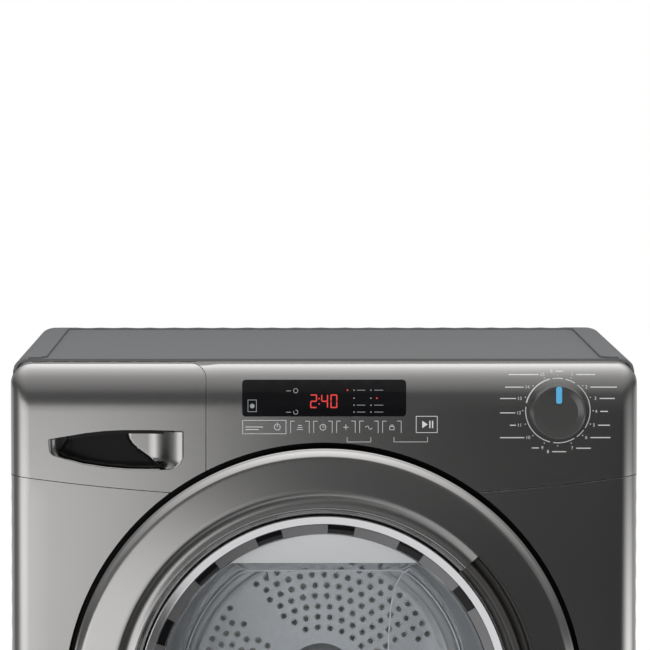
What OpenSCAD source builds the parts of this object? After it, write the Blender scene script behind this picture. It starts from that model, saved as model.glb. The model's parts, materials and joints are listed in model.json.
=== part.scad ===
// Front-loading clothes dryer, full size, millimetres.
// X runs to the right of someone facing the door, Y runs to the rear, Z runs up.
// The origin is on the floor, below the middle of the dryer.

/* [Cabinet] */
// Width over the side panels
cabinet_w = 596; // [585:1:610]
// Height from the floor to the top of the worktop's rails
cabinet_h = 850; // [840:1:880]
// Depth from the front panel's plane to the rear edge of the side panels
cabinet_d = 550; // [545:1:580]
// Thickness of the steel sheet
sheet_t = 1.2; // [0.8:0.1:1.5]
// Radius of the two vertical front edges
edge_r = 18; // [12:1:20]
// Depth of the wrapped side of the front panel
wrap_d = 24; // [22:1:28]
// Width of the folded flanges of the sheet panels
flange_w = 12; // [8:1:14]
// Height of the base above the floor
foot_h = 16; // [12:1:22]
// Radius of a levelling foot's pad
foot_r = 20; // [15:1:24]

/* [Base and plinth] */
// Height of the base tray's outer wall
base_wall_h = 84; // [70:1:90]
// Wall thickness of the base tray
base_t = 3; // [2.5:0.5:4]
// Height of the plinth panel
plinth_h = 150; // [140:1:170]
// Width of the service flap in the plinth
flap_w = 236; // [200:1:240]
// Height of the service flap
flap_h = 104; // [90:1:110]
// Thickness of the service flap
flap_t = 3; // [2.5:0.5:4]

/* [Fascia] */
// Wall thickness of the moulded fascia
fascia_t = 3; // [2.5:0.5:4]
// Depth of the rolled top edge
roll_d = 16; // [12:1:18]
// Height of the rolled top edge
roll_h = 42; // [30:1:45]
// Radius of the fascia's top corners seen from the front
fascia_corner_r = 22; // [16:1:26]
// Depth of the fascia's flat top
fascia_top_d = 52; // [45:1:60]
// Drop of the fascia's lower seam at the middle, below the top
seam_drop = 129; // [125:1:133]
// Radius of the fascia's lower seam
seam_r = 2059; // [1800:1:2300]

/* [Worktop] */
// Width of the worktop's side rails
rail_w = 30; // [24:1:36]
// Radius of the worktop's rear corners
rear_corner_r = 26; // [15:1:35]
// Radius of the worktop's side edges
worktop_edge_r = 12; // [6:1:16]
// Depth of the worktop's rear rail
rear_rail_d = 15; // [12:1:20]
// Height of the worktop's outer skirt
worktop_h = 24; // [20:1:28]
// Step from the rails down to the board
board_drop = 2; // [1:0.5:3]
// Thickness of the worktop's board
board_t = 12; // [8:1:14]
// Depth at which the side rails begin
rail_start_d = 78; // [70:1:90]
// Radius of the board's curve at the front of a rail
board_curve_r = 20; // [12:1:22]

/* [Controls] */
// Distance of the selector from the middle
knob_x = 221.6; // [205:0.2:230]
// Drop of the selector's axis below the top
knob_drop = 46; // [44:1:48]
// Radius of the selector knob
knob_r = 26; // [22:1:28]
// How far the knob stands in front of the front panel
knob_proud = 20; // [16:1:24]
// Radius of the selector's spindle
spindle_r = 3; // [2.5:0.5:3.5]
// Width of the display window
window_w = 154.6; // [140:0.2:170]
// Height of the display window
window_h = 34; // [28:1:36]
// Drop of the window's middle below the top
window_drop = 34; // [33:1:36]
// Thickness of the display window
window_t = 2; // [1.5:0.5:2.5]
// Thickness of the circuit board
board_pcb_t = 1.6; // [1.2:0.2:2]

/* [Water container] */
// Distance of the drawer's inner seam from the middle
drawer_seam_x = 112; // [105:1:116]
// Drop of the drawer's top seam below the top
drawer_seam_drop = 1.6; // [1.2:0.2:2.4]
// Radius of the drawer front's top inner corner
drawer_corner_r = 14; // [8:1:18]
// Length of the water container
tank_len = 400; // [340:5:430]
// Height of the water container
tank_h = 74; // [64:1:76]
// Wall thickness of the water container
tank_t = 2; // [1.5:0.5:2.5]
// Depth of the finger recess
grip_depth = 24; // [18:1:26]

/* [Door] */
// Drop of the door's axis below the top
door_drop = 324; // [320:1:328]
// Radius of the recess in the front panel
recess_r = 248.5; // [246:0.5:251]
// Depth of the recess in the front panel
recess_d = 22; // [21:0.5:24]
// Outer radius of the door
door_r = 242; // [240:0.5:243]
// How far the door stands in front of the front panel
door_proud = 14; // [12:1:16]
// Wall thickness of the door's mouldings
bezel_t = 2.5; // [2:0.5:3]
// Radius of the bull nose round the door
nose_r = 8; // [6:0.5:9]
// Inner radius of the door's flat ring
ring_inner_r = 200; // [197:0.5:203]
// Inner radius of the door's bezel
bezel_inner_r = 178; // [176:0.5:180]
// Angle covered by the door's grip
grip_angle = 88; // [70:1:100]
// Radius of the hinge pin
hinge_pin_r = 2.5; // [2:0.5:3]
// Radial running clearance of the pins
pin_clearance = 0.06; // [0.03:0.01:0.1]

/* [Glass] */
// Wall thickness of the glass bowl
glass_t = 4; // [3:0.5:5]
// Outer radius of the bowl at its flange
bowl_root_r = 160; // [157:0.5:163]
// Outer radius of the bowl at the start of its end curve
bowl_end_r = 144; // [136:1:148]
// Distance from the front panel's plane to the bowl's end
bowl_end_d = 124; // [110:1:130]
// Radius between the bowl's wall and its end
bowl_curve_r = 16; // [12:1:20]
// Height of the sloping facet above the door's axis at the bowl's end
facet_end_h = 111; // [104:1:118]

/* [Drum] */
// Drop of the drum's axis below the top
drum_drop = 370; // [366:1:372]
// Outer radius of the drum
drum_r = 283; // [278:1:285]
// Depth at which the drum begins
drum_start_d = 92; // [90:1:96]
// Length of the drum
drum_len = 396; // [380:1:400]
// Radius of the drum's front mouth
mouth_r = 255; // [250:1:258]
// Height of a lifter
lifter_h = 46; // [36:1:54]
// Length of a lifter
lifter_len = 330; // [280:5:340]
// Radius of the drum's shaft
shaft_r = 10; // [8:1:12]
// Radius of the holes in the drum's back
vent_hole_r = 2.6; // [2:0.2:2.8]
// Distance between the rings of holes in the drum's back
vent_pitch = 11.2; // [11:0.1:12.5]
// Number of rings of holes in the drum's back
vent_rings = 8; // [5:1:8]
// Radius of the innermost ring of holes
vent_start_r = 44.7; // [44:0.1:48]
// Width of the plain strips between the fields of holes
strip_w = 34; // [28:1:40]

/* [Drive] */
// Radius of a drum roller
roller_r = 17; // [15:0.5:20]
// Width of a drum roller
roller_w = 12; // [10:1:14]
// Angle of the rollers from the bottom of the drum
roller_angle = 35; // [30:1:38]
// Radius of the motor's pulley
pulley_r = 9; // [7:0.5:11]
// Width of the drive belt
belt_w = 10; // [8:1:12]
// Thickness of the drive belt
belt_t = 2; // [1.5:0.5:2.5]
// Depth of the belt's middle plane
belt_d = 262; // [255:1:268]
// Distance of the motor's axis from the middle
motor_x = 165; // [158:1:172]
// Height of the motor's axis above the floor
motor_z = 125; // [120:1:128]
// Radius of the motor
motor_r = 46; // [40:1:50]
// Radius of the fan wheel
fan_r = 72; // [60:1:76]
// Number of blades on the fan wheel
fan_blades = 24; // [12:1:28]
// Radius of the idler pulley
idler_r = 16; // [13:0.5:18]

/* [Heat pump] */
// Radius of the compressor
compressor_r = 60; // [50:1:64]
// Height of the compressor
compressor_h = 150; // [120:1:156]
// Width of the finned coils
coil_w = 150; // [130:1:156]
// Height of the finned coils
coil_h = 150; // [120:1:156]
// Length of the evaporator coil
evaporator_len = 110; // [90:1:120]
// Length of the condenser coil
condenser_len = 170; // [140:1:180]
// Distance between the fins of a coil
fin_pitch = 10; // [8:1:16]
// Radius of the refrigerant pipes
pipe_r = 4; // [3:0.5:5]
// Radius of the drain pipe
drain_r = 6; // [5:0.5:7]

/* [Hidden] */
$fn = 96;

seat = 0.3;                                  // gap between seated pieces
seam = 0.6;                                  // visible gap between cover parts
far = 2000;                                  // longer than any cut needs
rear_cover_proud = 15;
overall_d = knob_proud + cabinet_d + rear_cover_proud;
front_y = knob_proud - overall_d / 2;        // the front panel's plane
half_w = cabinet_w / 2;
inner_half_w = half_w - sheet_t;
door_z = cabinet_h - door_drop;
drum_z = cabinet_h - drum_drop;
knob_z = cabinet_h - knob_drop;
window_z = cabinet_h - window_drop;
seam_z = cabinet_h - seam_drop;              // lowest point of the fascia's seam
worktop_z = cabinet_h - worktop_h;           // underside of the worktop's skirt
base_z = foot_h;
plinth_z = base_z + plinth_h;
rib_z = base_z + 23;                         // top of the base tray's ribs
throat_r = bezel_inner_r + 4;                // loading opening in the front panel
throat_d = recess_d + 22;
bulkhead_d = throat_d + 18;                  // front face of the front bulkhead
bulkhead_t = 3;
drum_end_d = drum_start_d + drum_len;
drum_t = 1.2;
rear_bulkhead_d = drum_end_d + 12;
tank_left = -half_w + sheet_t + 8;
tank_right = -drawer_seam_x - 6;
tank_w = tank_right - tank_left;
tank_top = worktop_z - 8;
tank_bottom = tank_top - tank_h;
tank_d = 34;                                 // depth at which the container begins
drawer_wrap_d = roll_d - 3.5;                // how far the drawer front wraps round the corner

// ---- Places and shapes used by several parts ----

// A front-view outline (X, Z) made solid from depth d to d + t.
module slab(d, t) {
  translate([0, front_y + d + t, 0]) rotate([90, 0, 0]) linear_extrude(t) children();
}
// A side-view outline (depth, Z) made solid from x0 to x0 + w.
module across(x0, w) {
  translate([x0, front_y, 0]) rotate([90, 0, 90]) linear_extrude(w) children();
}
// A plan outline (X, depth) made solid from z to z + h.
module plan(z, h) {
  translate([0, front_y, z]) linear_extrude(h) children();
}
// A profile (radius, depth) turned round a front-to-rear axis at x, z.
module turned(x, z, angle = 360, start = 0) {
  translate([x, front_y, z]) rotate([-90, 0, 0]) rotate_extrude(angle = angle, start = start)
    children();
}
// A round bar along the depth from d to d + len.
module bar(x, d, z, r, len) {
  translate([x, front_y + d, z]) rotate([-90, 0, 0]) cylinder(r = r, h = len);
}
// A box given by its low corner in X, depth and Z.
module block(x, d, z, size) {
  translate([x, front_y + d, z]) cube(size);
}
// A rectangle with round corners, centred.
module round_rect(w, h, r) {
  square([w - 2 * r, h], center = true);
  square([w, h - 2 * r], center = true);
  for (sx = [-1, 1], sz = [-1, 1])
    translate([sx * (w / 2 - r), sz * (h / 2 - r)]) circle(r);
}
// Plan of the cabinet's front with its two round edges, inset by i, back to depth d.
module front_plan(i, d) {
  r = edge_r - i;
  w = cabinet_w - 2 * i;
  translate([-w / 2 + r, i]) square([w - 2 * r, d - i]);
  translate([-w / 2, edge_r]) square([w, d - edge_r]);
  for (s = [-1, 1]) translate([s * (w / 2 - r), edge_r]) intersection() {
    circle(r);
    translate([-r, -r]) square([2 * r, r + 0.01]);
  }
}
// Everything above the fascia's lower seam, moved up by gap.
module above_seam(gap) {
  slab(-50, far) translate([0, seam_z + seam_r + gap]) circle(seam_r, $fn = 720);
}
// The round hole that the door's recess leaves in the cover parts.
module recess_hole(gap) {
  bar(0, -60, door_z, recess_r + gap, far);
}

// ---- Cabinet ----

module base_tray() {
  color("dimgray") difference() {
    union() {
      difference() {
        block(-inner_half_w + 1, wrap_d + 4, base_z,
          [2 * inner_half_w - 2, cabinet_d - wrap_d - 10, base_wall_h]);
        block(-inner_half_w + 1 + base_t, wrap_d + 4 + base_t, base_z + base_t,
          [2 * inner_half_w - 2 - 2 * base_t, cabinet_d - wrap_d - 10 - 2 * base_t, far]);
      }
      for (x = [-180, -60, 60, 180])
        block(x - base_t / 2, wrap_d + 6, base_z + 1, [base_t, cabinet_d - wrap_d - 14, rib_z - base_z - 1]);
      for (d = [150, 270, 390])
        block(-inner_half_w + 2, d, base_z + 1, [2 * inner_half_w - 4, base_t, rib_z - base_z - 1]);
    }
    for (x = [-1, 1], d = [70, cabinet_d - 55])
      bar_up(x * (half_w - 45), d, base_z - 1, 5, base_t + 30);
  }
}
// A round upright bar.
module bar_up(x, d, z, r, h) {
  translate([x, front_y + d, z]) cylinder(r = r, h = h);
}
module levelling_feet() {
  color("black") for (x = [-1, 1], d = [70, cabinet_d - 55]) {
    bar_up(x * (half_w - 45), d, 0, foot_r, 8);
    bar_up(x * (half_w - 45), d, 7, 12, foot_h - 7 - seat);
    bar_up(x * (half_w - 45), d, 7, 4.7, foot_h + 8);
  }
}
module side_panel(s) {
  top = worktop_z - seat;
  bottom = base_z + 4;
  depth = cabinet_d - wrap_d - 4;
  x_out = s * half_w;
  inward_box(x_out, wrap_d + 1, bottom, s * sheet_t, depth, top - bottom);
  for (d = [wrap_d + 1, wrap_d + 1 + depth - sheet_t])
    inward_box(x_out, d, plinth_z, s * flange_w, sheet_t, tank_bottom - plinth_z - 6);
  for (z = [plinth_z + 60, plinth_z + 330])
    inward_box(x_out, wrap_d + 90, z, s * (sheet_t + 2), depth - 180, 12);
}
// A box that grows inwards from the outer face at x.
module inward_box(x, d, z, w, depth, h) {
  block(min(x, x - w), d, z, [abs(w), depth, h]);
}
module left_side_panel() { color("gray") side_panel(-1); }
module right_side_panel() { color("gray") side_panel(1); }

module rear_panel() {
  color("silver") slab(cabinet_d - 1.5 - sheet_t, sheet_t) difference() {
    translate([-inner_half_w + 0.6, base_z + 6])
      square([2 * inner_half_w - 1.2, worktop_z - base_z - 6 - 1]);
    translate([0, drum_z]) circle(r = vent_start_r + vent_rings * vent_pitch + 12);
    for (x = [70 : 16 : 230]) translate([x, motor_z + 10]) round_rect(7, 90, 3.4);
  }
}
module rear_duct_cover() {
  cover_r = vent_start_r + vent_rings * vent_pitch + 30;
  d0 = cabinet_d - 1.5 + seat;
  d1 = cabinet_d + rear_cover_proud;
  color("gainsboro") turned(0, drum_z) polygon([
    [0, d1], [cover_r - 20, d1], [cover_r - 12, d1 - 6], [cover_r - 12, d0 + sheet_t],
    [cover_r, d0 + sheet_t], [cover_r, d0], [cover_r - 12 - sheet_t, d0],
    [cover_r - 12 - sheet_t, d1 - 6.6], [cover_r - 20.6, d1 - sheet_t], [0, d1 - sheet_t]]);
}
module front_panel() {
  color("dimgray") {
    difference() {
      plan(plinth_z + seam, cabinet_h - plinth_z - seam) difference() {
        front_plan(0, wrap_d);
        translate([0, 0.001]) front_plan(sheet_t, wrap_d + 1);
      }
      above_seam(-seam / 2);
      recess_hole(sheet_t / 2);
    }
    difference() {
      turned(0, door_z) polygon([
        [recess_r, 0], [recess_r + sheet_t, 0], [recess_r + sheet_t, recess_d + sheet_t],
        [throat_r + sheet_t, recess_d + sheet_t], [throat_r + sheet_t, throat_d],
        [throat_r, throat_d], [throat_r, recess_d], [recess_r, recess_d]]);
      block(hook_x - 8, recess_d - 1, door_z - 16, [20, sheet_t + 2, 32]);
      hinge_pocket(1);
    }
  }
}
module plinth_panel() {
  color("dimgray") difference() {
    plan(base_z + 4, plinth_h - 4) difference() {
      front_plan(0, wrap_d);
      translate([0, 0.001]) front_plan(sheet_t * 1.5, wrap_d + 1);
    }
    slab(-1, 12) translate([flap_x, flap_z]) square([flap_w, flap_h]);
    for (x = [60 : 12 : 240]) slab(-1, 12) translate([x, flap_z + 34]) round_rect(5, 60, 2.4);
  }
  color("dimgray") for (x = [flap_x + 16, flap_x + flap_w - 16 - lug_w]) difference() {
    across(x, lug_w) {
      translate([flap_pin_d, flap_pin_z]) circle(5.4);
      translate([flap_pin_d, flap_pin_z - 3]) square([14, 6]);
      translate([flap_pin_d + 8, base_z + 6]) square([6, flap_pin_z - base_z - 7]);
      translate([1, base_z + 6]) square([flap_pin_d + 12, 6]);
    }
    across(x - 1, lug_w + 2) translate([flap_pin_d, flap_pin_z]) circle(2 + pin_clearance);
  }
}
flap_x = -half_w + 30;
flap_z = base_z + 24;
flap_pin_d = 9;
flap_pin_z = flap_z + 10;
lug_w = 8;
// A flap with a lip, hung on two stub pins at its lower edge.
module service_flap() {
  color("dimgray") {
    slab(0, flap_t) translate([flap_x + flap_w / 2, flap_z + (flap_h - seam + 3) / 2])
      round_rect(flap_w - 2 * seam, flap_h - seam - 3, 4);
    for (x = [flap_x + 40, flap_x + flap_w - 40 - 2])
      block(x, flap_t - 0.1, flap_z + 30, [2, 8, flap_h - 50]);
    for (x = [flap_x + 16 + lug_w, flap_x + flap_w - 16 - lug_w - 6]) {
      across(x + seat, 6 - 2 * seat) {
        translate([flap_pin_d, flap_pin_z]) circle(4.5);
        translate([flap_t - 0.1, flap_pin_z - 2]) square([flap_pin_d - flap_t, 4]);
      }
    }
    for (x = [flap_x + 16 - 1, flap_x + flap_w - 16 - lug_w - 2])
      across(x, lug_w + 3) translate([flap_pin_d, flap_pin_z]) circle(2);
  }
}
// Plan of the worktop's board: a plate between the rails that widens at the front.
module board_plan(gap) {
  x_in = half_w - rail_w - gap;
  r = board_curve_r;
  difference() {
    union() {
      translate([-x_in, fascia_top_d + seam])
        square([2 * x_in, cabinet_d - rear_rail_d - fascia_top_d - seam - gap]);
      translate([-half_w + seam, fascia_top_d + seam])
        square([cabinet_w - 2 * seam, rail_start_d - fascia_top_d - seam - gap]);
      for (s = [-1, 1]) translate([s * (x_in + r / 2), rail_start_d + r / 2 - gap])
        square([r, r], center = true);
    }
    for (s = [-1, 1]) translate([s * (x_in + r), rail_start_d + r - gap]) circle(r);
  }
}
module worktop_plan() {
  translate([-half_w, fascia_top_d + seam])
    square([cabinet_w, cabinet_d - fascia_top_d - seam - rear_corner_r]);
  translate([-half_w + rear_corner_r, fascia_top_d + seam])
    square([cabinet_w - 2 * rear_corner_r, cabinet_d - fascia_top_d - seam]);
  for (s = [-1, 1])
    translate([s * (half_w - rear_corner_r), cabinet_d - rear_corner_r]) circle(rear_corner_r);
}
// Everything inside the worktop's round side edges.
module worktop_form() {
  r = worktop_edge_r;
  slab(fascia_top_d, far) polygon(concat([[-half_w, worktop_z - 5], [half_w, worktop_z - 5]],
    [for (s = [1, -1], a = [0 : 15 : 90]) let (t = s > 0 ? a : 90 + a)
      [s * (half_w - r) + r * cos(t), cabinet_h - r + r * sin(t)]]));
}
module worktop_frame() {
  ledge_w = half_w - rail_w - 12;
  color("gray") difference() {
    intersection() {
      plan(worktop_z, worktop_h) worktop_plan();
      worktop_form();
    }
    plan(cabinet_h - board_drop - board_t - seat, far) board_plan(-seat);
    plan(worktop_z - 1, 7) translate([-half_w + 4, fascia_top_d + 4])
      square([cabinet_w - 8, cabinet_d - rear_corner_r - fascia_top_d - 4]);
    plan(worktop_z - 1, far) translate([-ledge_w, fascia_top_d + 14])
      square([2 * ledge_w, cabinet_d - rear_rail_d - fascia_top_d - 28]);
  }
}
module worktop_board() {
  color("gray") intersection() {
    plan(cabinet_h - board_drop - board_t, board_t) board_plan(0.2);
    worktop_form();
  }
}

// ---- Fascia and controls ----

// The fascia's form, inset by i: rolled top edge, round front edges and corners.
// The inset form runs past the rear, so that it opens the fascia there.
module fascia_form(i) {
  back = fascia_top_d + (i > 0 ? 6 : 0);
  foot = seam_z - 30 - i;
  intersection() {
    across(-half_w - 5, cabinet_w + 10) {
      translate([i, foot]) square([back - i, cabinet_h - roll_h - foot]);
      translate([roll_d, foot]) square([back - roll_d, cabinet_h - i - foot]);
      translate([roll_d, cabinet_h - roll_h]) polygon(concat([[1, 0], [1, roll_h - i]],
        [for (a = [90 : 7.5 : 180]) [(roll_d - i) * cos(a), (roll_h - i) * sin(a)]]));
    }
    plan(foot, far) front_plan(i, back);
    slab(-5, back + 10) polygon(concat([[i - half_w, foot - 1], [half_w - i, foot - 1]],
      [for (s = [1, -1], a = [0 : 7.5 : 90]) let (t = s > 0 ? a : 90 + a)
        [s * (half_w - fascia_corner_r) + (fascia_corner_r - i) * cos(t),
          cabinet_h - fascia_corner_r + (fascia_corner_r - i) * sin(t)]]));
  }
}
// The fascia's wall: open at the rear, below and over the cabinet's inside.
module fascia_wall() {
  difference() {
    fascia_form(0);
    fascia_form(fascia_t);
    block(-half_w - 1, wrap_d, seam_z - 60, [cabinet_w + 2, far, worktop_z - seam_z + 60]);
    difference() {
      block(-half_w - 1, -30, seam_z - 60, [cabinet_w + 2, far, seam_z]);
      above_seam(seam / 2);
    }
    recess_hole(sheet_t + seam / 2);
  }
}
// Front-view outline of the drawer front, shrunk by gap.
module drawer_outline(gap) {
  x1 = -drawer_seam_x - gap;
  z1 = cabinet_h - drawer_seam_drop - gap;
  r = drawer_corner_r;
  translate([-half_w - 1, seam_z - 60]) square([half_w + 1 + x1, z1 - r - seam_z + 60]);
  translate([-half_w - 1, z1 - r - 1]) square([half_w + 1 + x1 - r, r + 1]);
  translate([x1 - r, z1 - r]) circle(r);
}
// Front-view outline of the display window, grown by g.
module window_outline(g) {
  translate([0, window_z]) round_rect(window_w + 2 * g, window_h + 2 * g, 3 + g);
}
module control_fascia() {
  color("dimgray") difference() {
    fascia_wall();
    slab(-1, drawer_wrap_d + 1) drawer_outline(0);
    slab(-1, 12) window_outline(seat);
    bar(knob_x, -1, knob_z, spindle_r + 2, 10);
  }
}
module display_window() {
  color("black") difference() {
    intersection() {
      fascia_form(0);
      slab(-1, 12) window_outline(0);
    }
    fascia_form(window_t);
  }
}
module control_housing() {
  w = knob_x + drawer_seam_x + 30;
  x = (knob_x - drawer_seam_x + 50) / 2;
  h = 44;
  color("darkgray") difference() {
    slab(fascia_t + 1.6, 22) translate([x, knob_z - 4]) square([w, h], center = true);
    slab(fascia_t + 1, 20) translate([x, knob_z - 4]) square([w - 4, h - 4], center = true);
  }
}
module control_board() {
  d = 16;
  color("darkgreen") slab(d, board_pcb_t) translate([-80, knob_z - 23])
    square([knob_x + 100, 38]);
  color("dimgray") slab(fascia_t + 0.6, d - fascia_t - 0.5) translate([0, window_z - 6])
    square([window_w - 12, window_h - 18], center = true);
  color("black") for (x = [knob_x - 126 : 22 : knob_x - 60])
    block(x, d - 6, knob_z - 8, [10, 6.1, 12]);
}
module selector_switch() {
  color("silver") difference() {
    union() {
      bar(knob_x, fascia_t + 1, knob_z, 6, 5);
      slab(fascia_t + 5.9, 16 - fascia_t - 6.2) translate([knob_x, knob_z])
        square([18, 18], center = true);
    }
    bar(knob_x, 0, knob_z, spindle_r + pin_clearance, 14);
  }
}
module selector_knob() {
  r = knob_r;
  p = knob_proud;
  color("black") turned(knob_x, knob_z) difference() {
    union() {
      polygon([[0, -p + 1.6], [r - 6, -p + 0.8], [r - 4, -p], [r - 1.6, -p + 1.6],
        [r, -p + 8], [r, -1], [0, -1]]);
    }
    translate([spindle_r + 3, -p + 5]) square([r - spindle_r - 6, p]);
  }
  color("silver") bar(knob_x, -2, knob_z, spindle_r, 14);
  color("deepskyblue") slab(-p - 0.2, 1.6) translate([knob_x, knob_z + r - 11.5])
    round_rect(5.6, 15, 2);
}

// ---- Water container ----

// Front-view outline of the finger recess, grown by g.
module grip_outline(g) {
  x0 = -half_w + 37;
  x1 = -drawer_seam_x - 21;
  zt = cabinet_h - 65;
  zb = cabinet_h - 101;
  hull() {
    translate([x0 + 2.4, zt - 9]) circle(2 + g);
    translate([x0 + 8.4, zt - 17]) circle(8 + g);
    translate([x0 + 42, zb + 6.4]) circle(3 + g);
    translate([x0 + 95, zt - 2.2]) circle(3 + g);
    translate([x1 - 16, zb + 16]) circle(16 + g);
    translate([x1 - 1.5, zt - 1.6]) circle(1.5 + g);
  }
}
module container_front() {
  color("dimgray") {
    difference() {
      fascia_wall();
      difference() {
        block(-half_w - 1, -5, seam_z - 80, [cabinet_w + 2, 200, far]);
        slab(-1, drawer_wrap_d + 1 - seam) drawer_outline(seam);
      }
      slab(-5, 60) grip_outline(0);
    }
    difference() {
      slab(0.6, grip_depth) grip_outline(2.5);
      slab(0.5, grip_depth - 2.4) grip_outline(0);
    }
  }
}
module water_container() {
  color("whitesmoke") difference() {
    union() {
      tank_body(0);
      bar(tank_left + 30, tank_d + tank_len - 1, tank_top - 18, 12, 14);
      for (x = [tank_left + 30, tank_right - 42])
        block(x, fascia_t + seat, cabinet_h - 58, [12, tank_d - fascia_t, tank_top + 50 - cabinet_h]);
    }
    tank_body(tank_t);
    bar(tank_left + 30, tank_d + tank_len - 20, tank_top - 18, 9, 60);
  }
}
// The tank's round-edged form, inset by i.
module tank_body(i) {
  intersection() {
    slab(tank_d + i, tank_len - 2 * i)
      translate([(tank_left + tank_right) / 2, tank_bottom + tank_h / 2])
        round_rect(tank_w - 2 * i, tank_h - 2 * i, 12 - i);
    plan(tank_bottom, tank_h)
      translate([(tank_left + tank_right) / 2, tank_d + tank_len / 2])
        round_rect(tank_w - 2 * i, tank_len - 2 * i, 16 - i);
  }
}
module container_tray() {
  z0 = tank_bottom - seat - 2;
  color("darkgray") {
    block(tank_left - 3, tank_d + 8, z0, [tank_w + 6, tank_len + 40, 2]);
    block(tank_left - 5 + seat, tank_d + 8, z0, [3, tank_len + 40, 20]);
    block(tank_right + 2 - seat, tank_d + 8, z0, [3, tank_len + 40, 20]);
    block(tank_left - 3, tank_d + tank_len + 46, z0, [tank_w + 6, 2, 60]);
  }
}

// ---- Door ----

hook_x = 222;                                // the door hook's place, right of the axis
hinge_x = -door_r - 1;                       // the hinge pin's axis
hinge_d = -6;
knuckle_r = 5;
flange_d = 7.4;                              // front face of the glass bowl's flange
knuckle_h = 32;
ear_h = 9;
ear_gap = 0.5;

// Room for the hinge in the recess's wall.
module hinge_pocket(g) {
  block(hinge_x - knuckle_r - g - 3, -1, door_z - knuckle_h / 2 - ear_h - 2,
    [knuckle_r + g + 6, recess_d + 1 - seat / 2, knuckle_h + 2 * ear_h + 4]);
}
// Section of the door's bezel: outer wall, bull nose, flat ring, step and inner slope.
module bezel_section() {
  p = door_proud;
  c = [door_r - nose_r, nose_r - p];
  r = ring_inner_r;
  t = bezel_t;
  back = recess_d - 6;
  polygon(concat(
    [[door_r - t, back], [door_r, back]],
    [for (a = [0 : -9 : -90]) c + nose_r * [cos(a), sin(a)]],
    [[r, 1 - p], [r - 4, 4 - p], [r - 8, 5 - p], [bezel_inner_r, 4], [bezel_inner_r, 7],
      [r - 9, 5 - p + t], [r - 5, 4 - p + t], [r, 1 - p + t]],
    [for (a = [-90 : 15 : 0]) c + (nose_r - t) * [cos(a), sin(a)]]));
}
module door_bezel() {
  color("dimgray") difference() {
    turned(0, door_z) bezel_section();
    turned(0, door_z, grip_angle, -grip_angle / 2)
      translate([ring_inner_r - 14, -door_proud - 1]) square([18, 30]);
    hinge_clearance();
  }
}
// The notch that the door's mouldings leave round the hinge's fixed ears.
module hinge_clearance() {
  block(hinge_x - 8, -door_proud + bezel_t, door_z - knuckle_h / 2 - ear_h - 2.5,
    [8 + knuckle_r + 1.5, 60, knuckle_h + 2 * ear_h + 5]);
}
module door_handle() {
  r0 = ring_inner_r - 14 + seat;
  r1 = ring_inner_r + 4 - seat;
  color("dimgray") turned(0, door_z, grip_angle - 0.2, -grip_angle / 2 + 0.1) difference() {
    translate([r0, -door_proud + 0.4]) square([r1 - r0, door_proud + flange_d - seat - 0.4]);
    translate([r0 + 2, -door_proud - 1]) square([r1 - r0 - 4, door_proud + flange_d - 2.6]);
    polygon([[r0 - 1, -door_proud - 1], [r0 + 2.1, -door_proud - 1], [r0 + 2.1, -3], [r0 - 1, -1]]);
  }
}
module door_rear_frame() {
  color("gray") difference() {
    union() {
      turned(0, door_z) polygon([[bezel_inner_r - 6, 12], [door_r - 6, 12], [door_r - 6, 17],
        [door_r - 9, 20], [bezel_inner_r - 3, 20], [bezel_inner_r - 6, 17]]);
      for (a = [15 : 30 : 345])
        bar((ring_inner_r + 18) * cos(a), bezel_t + 3 - door_proud,
          door_z + (ring_inner_r + 18) * sin(a), 5, door_proud - bezel_t + 9.5);
      for (a = [0 : 36 : 324]) translate([0, front_y, door_z]) rotate([0, a, 0])
        translate([bezel_inner_r - 7, 12.5, -9]) cube([4, 3.5, 18]);
    }
    hinge_clearance();
    block(hinge_x, -30, door_z - knuckle_h / 2 - 1, [44, 41.7, knuckle_h + 2]);
  }
}
// The bowl's solid outer form, inset by i, cut by the sloping facet.
module bowl_form(i) {
  r0 = bowl_root_r - i;
  r1 = bowl_end_r - i;
  d1 = bowl_end_d - i;
  c = bowl_curve_r - i / 2;
  difference() {
    turned(0, door_z) {
      polygon([[0, flange_d + 1 - i], [r0, flange_d + 1 - i], [r0, flange_d + 2], [r1, d1 - c],
        [r1 - c, d1], [0, d1]]);
      intersection() {
        translate([r1 - c, d1 - c]) circle(c);
        translate([r1 - c, d1 - c]) square([c, c]);
      }
    }
    across(-far / 2, far) polygon([[-20, door_z + bowl_root_r + 1 - i],
      [flange_d, door_z + bowl_root_r - i], [bowl_end_d, door_z + facet_end_h - i],
      [far, door_z + facet_end_h - i], [far, door_z + far], [-20, door_z + far]]);
  }
}
module door_glass() {
  color("lightblue", 0.4) difference() {
    union() {
      bowl_form(0);
      bar(0, flange_d, door_z, ring_inner_r - 13, glass_t);
    }
    bowl_form(glass_t);
  }
}
module hinge_leaf() {
  color("silver") difference() {
    union() {
      bar_up(hinge_x, hinge_d, door_z - knuckle_h / 2, knuckle_r, knuckle_h);
      block(hinge_x, hinge_d - 2, door_z - knuckle_h / 2, [42, 4, knuckle_h]);
      block(hinge_x + 24, hinge_d + 1.9, door_z - 12, [18, 9.8 - hinge_d, 24]);
    }
    bar_up(hinge_x, hinge_d, door_z - 40, hinge_pin_r + pin_clearance, 80);
  }
}
module hinge_bracket() {
  ear_z = knuckle_h / 2 + ear_gap;
  color("silver") difference() {
    for (z = [door_z + ear_z, door_z - ear_z - ear_h]) {
      bar_up(hinge_x, hinge_d, z, knuckle_r, ear_h);
      block(hinge_x - knuckle_r, hinge_d, z, [2 * knuckle_r, recess_d - seat - hinge_d, ear_h]);
    }
    bar_up(hinge_x, hinge_d, door_z - 40, hinge_pin_r + pin_clearance, 80);
  }
}
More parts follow.
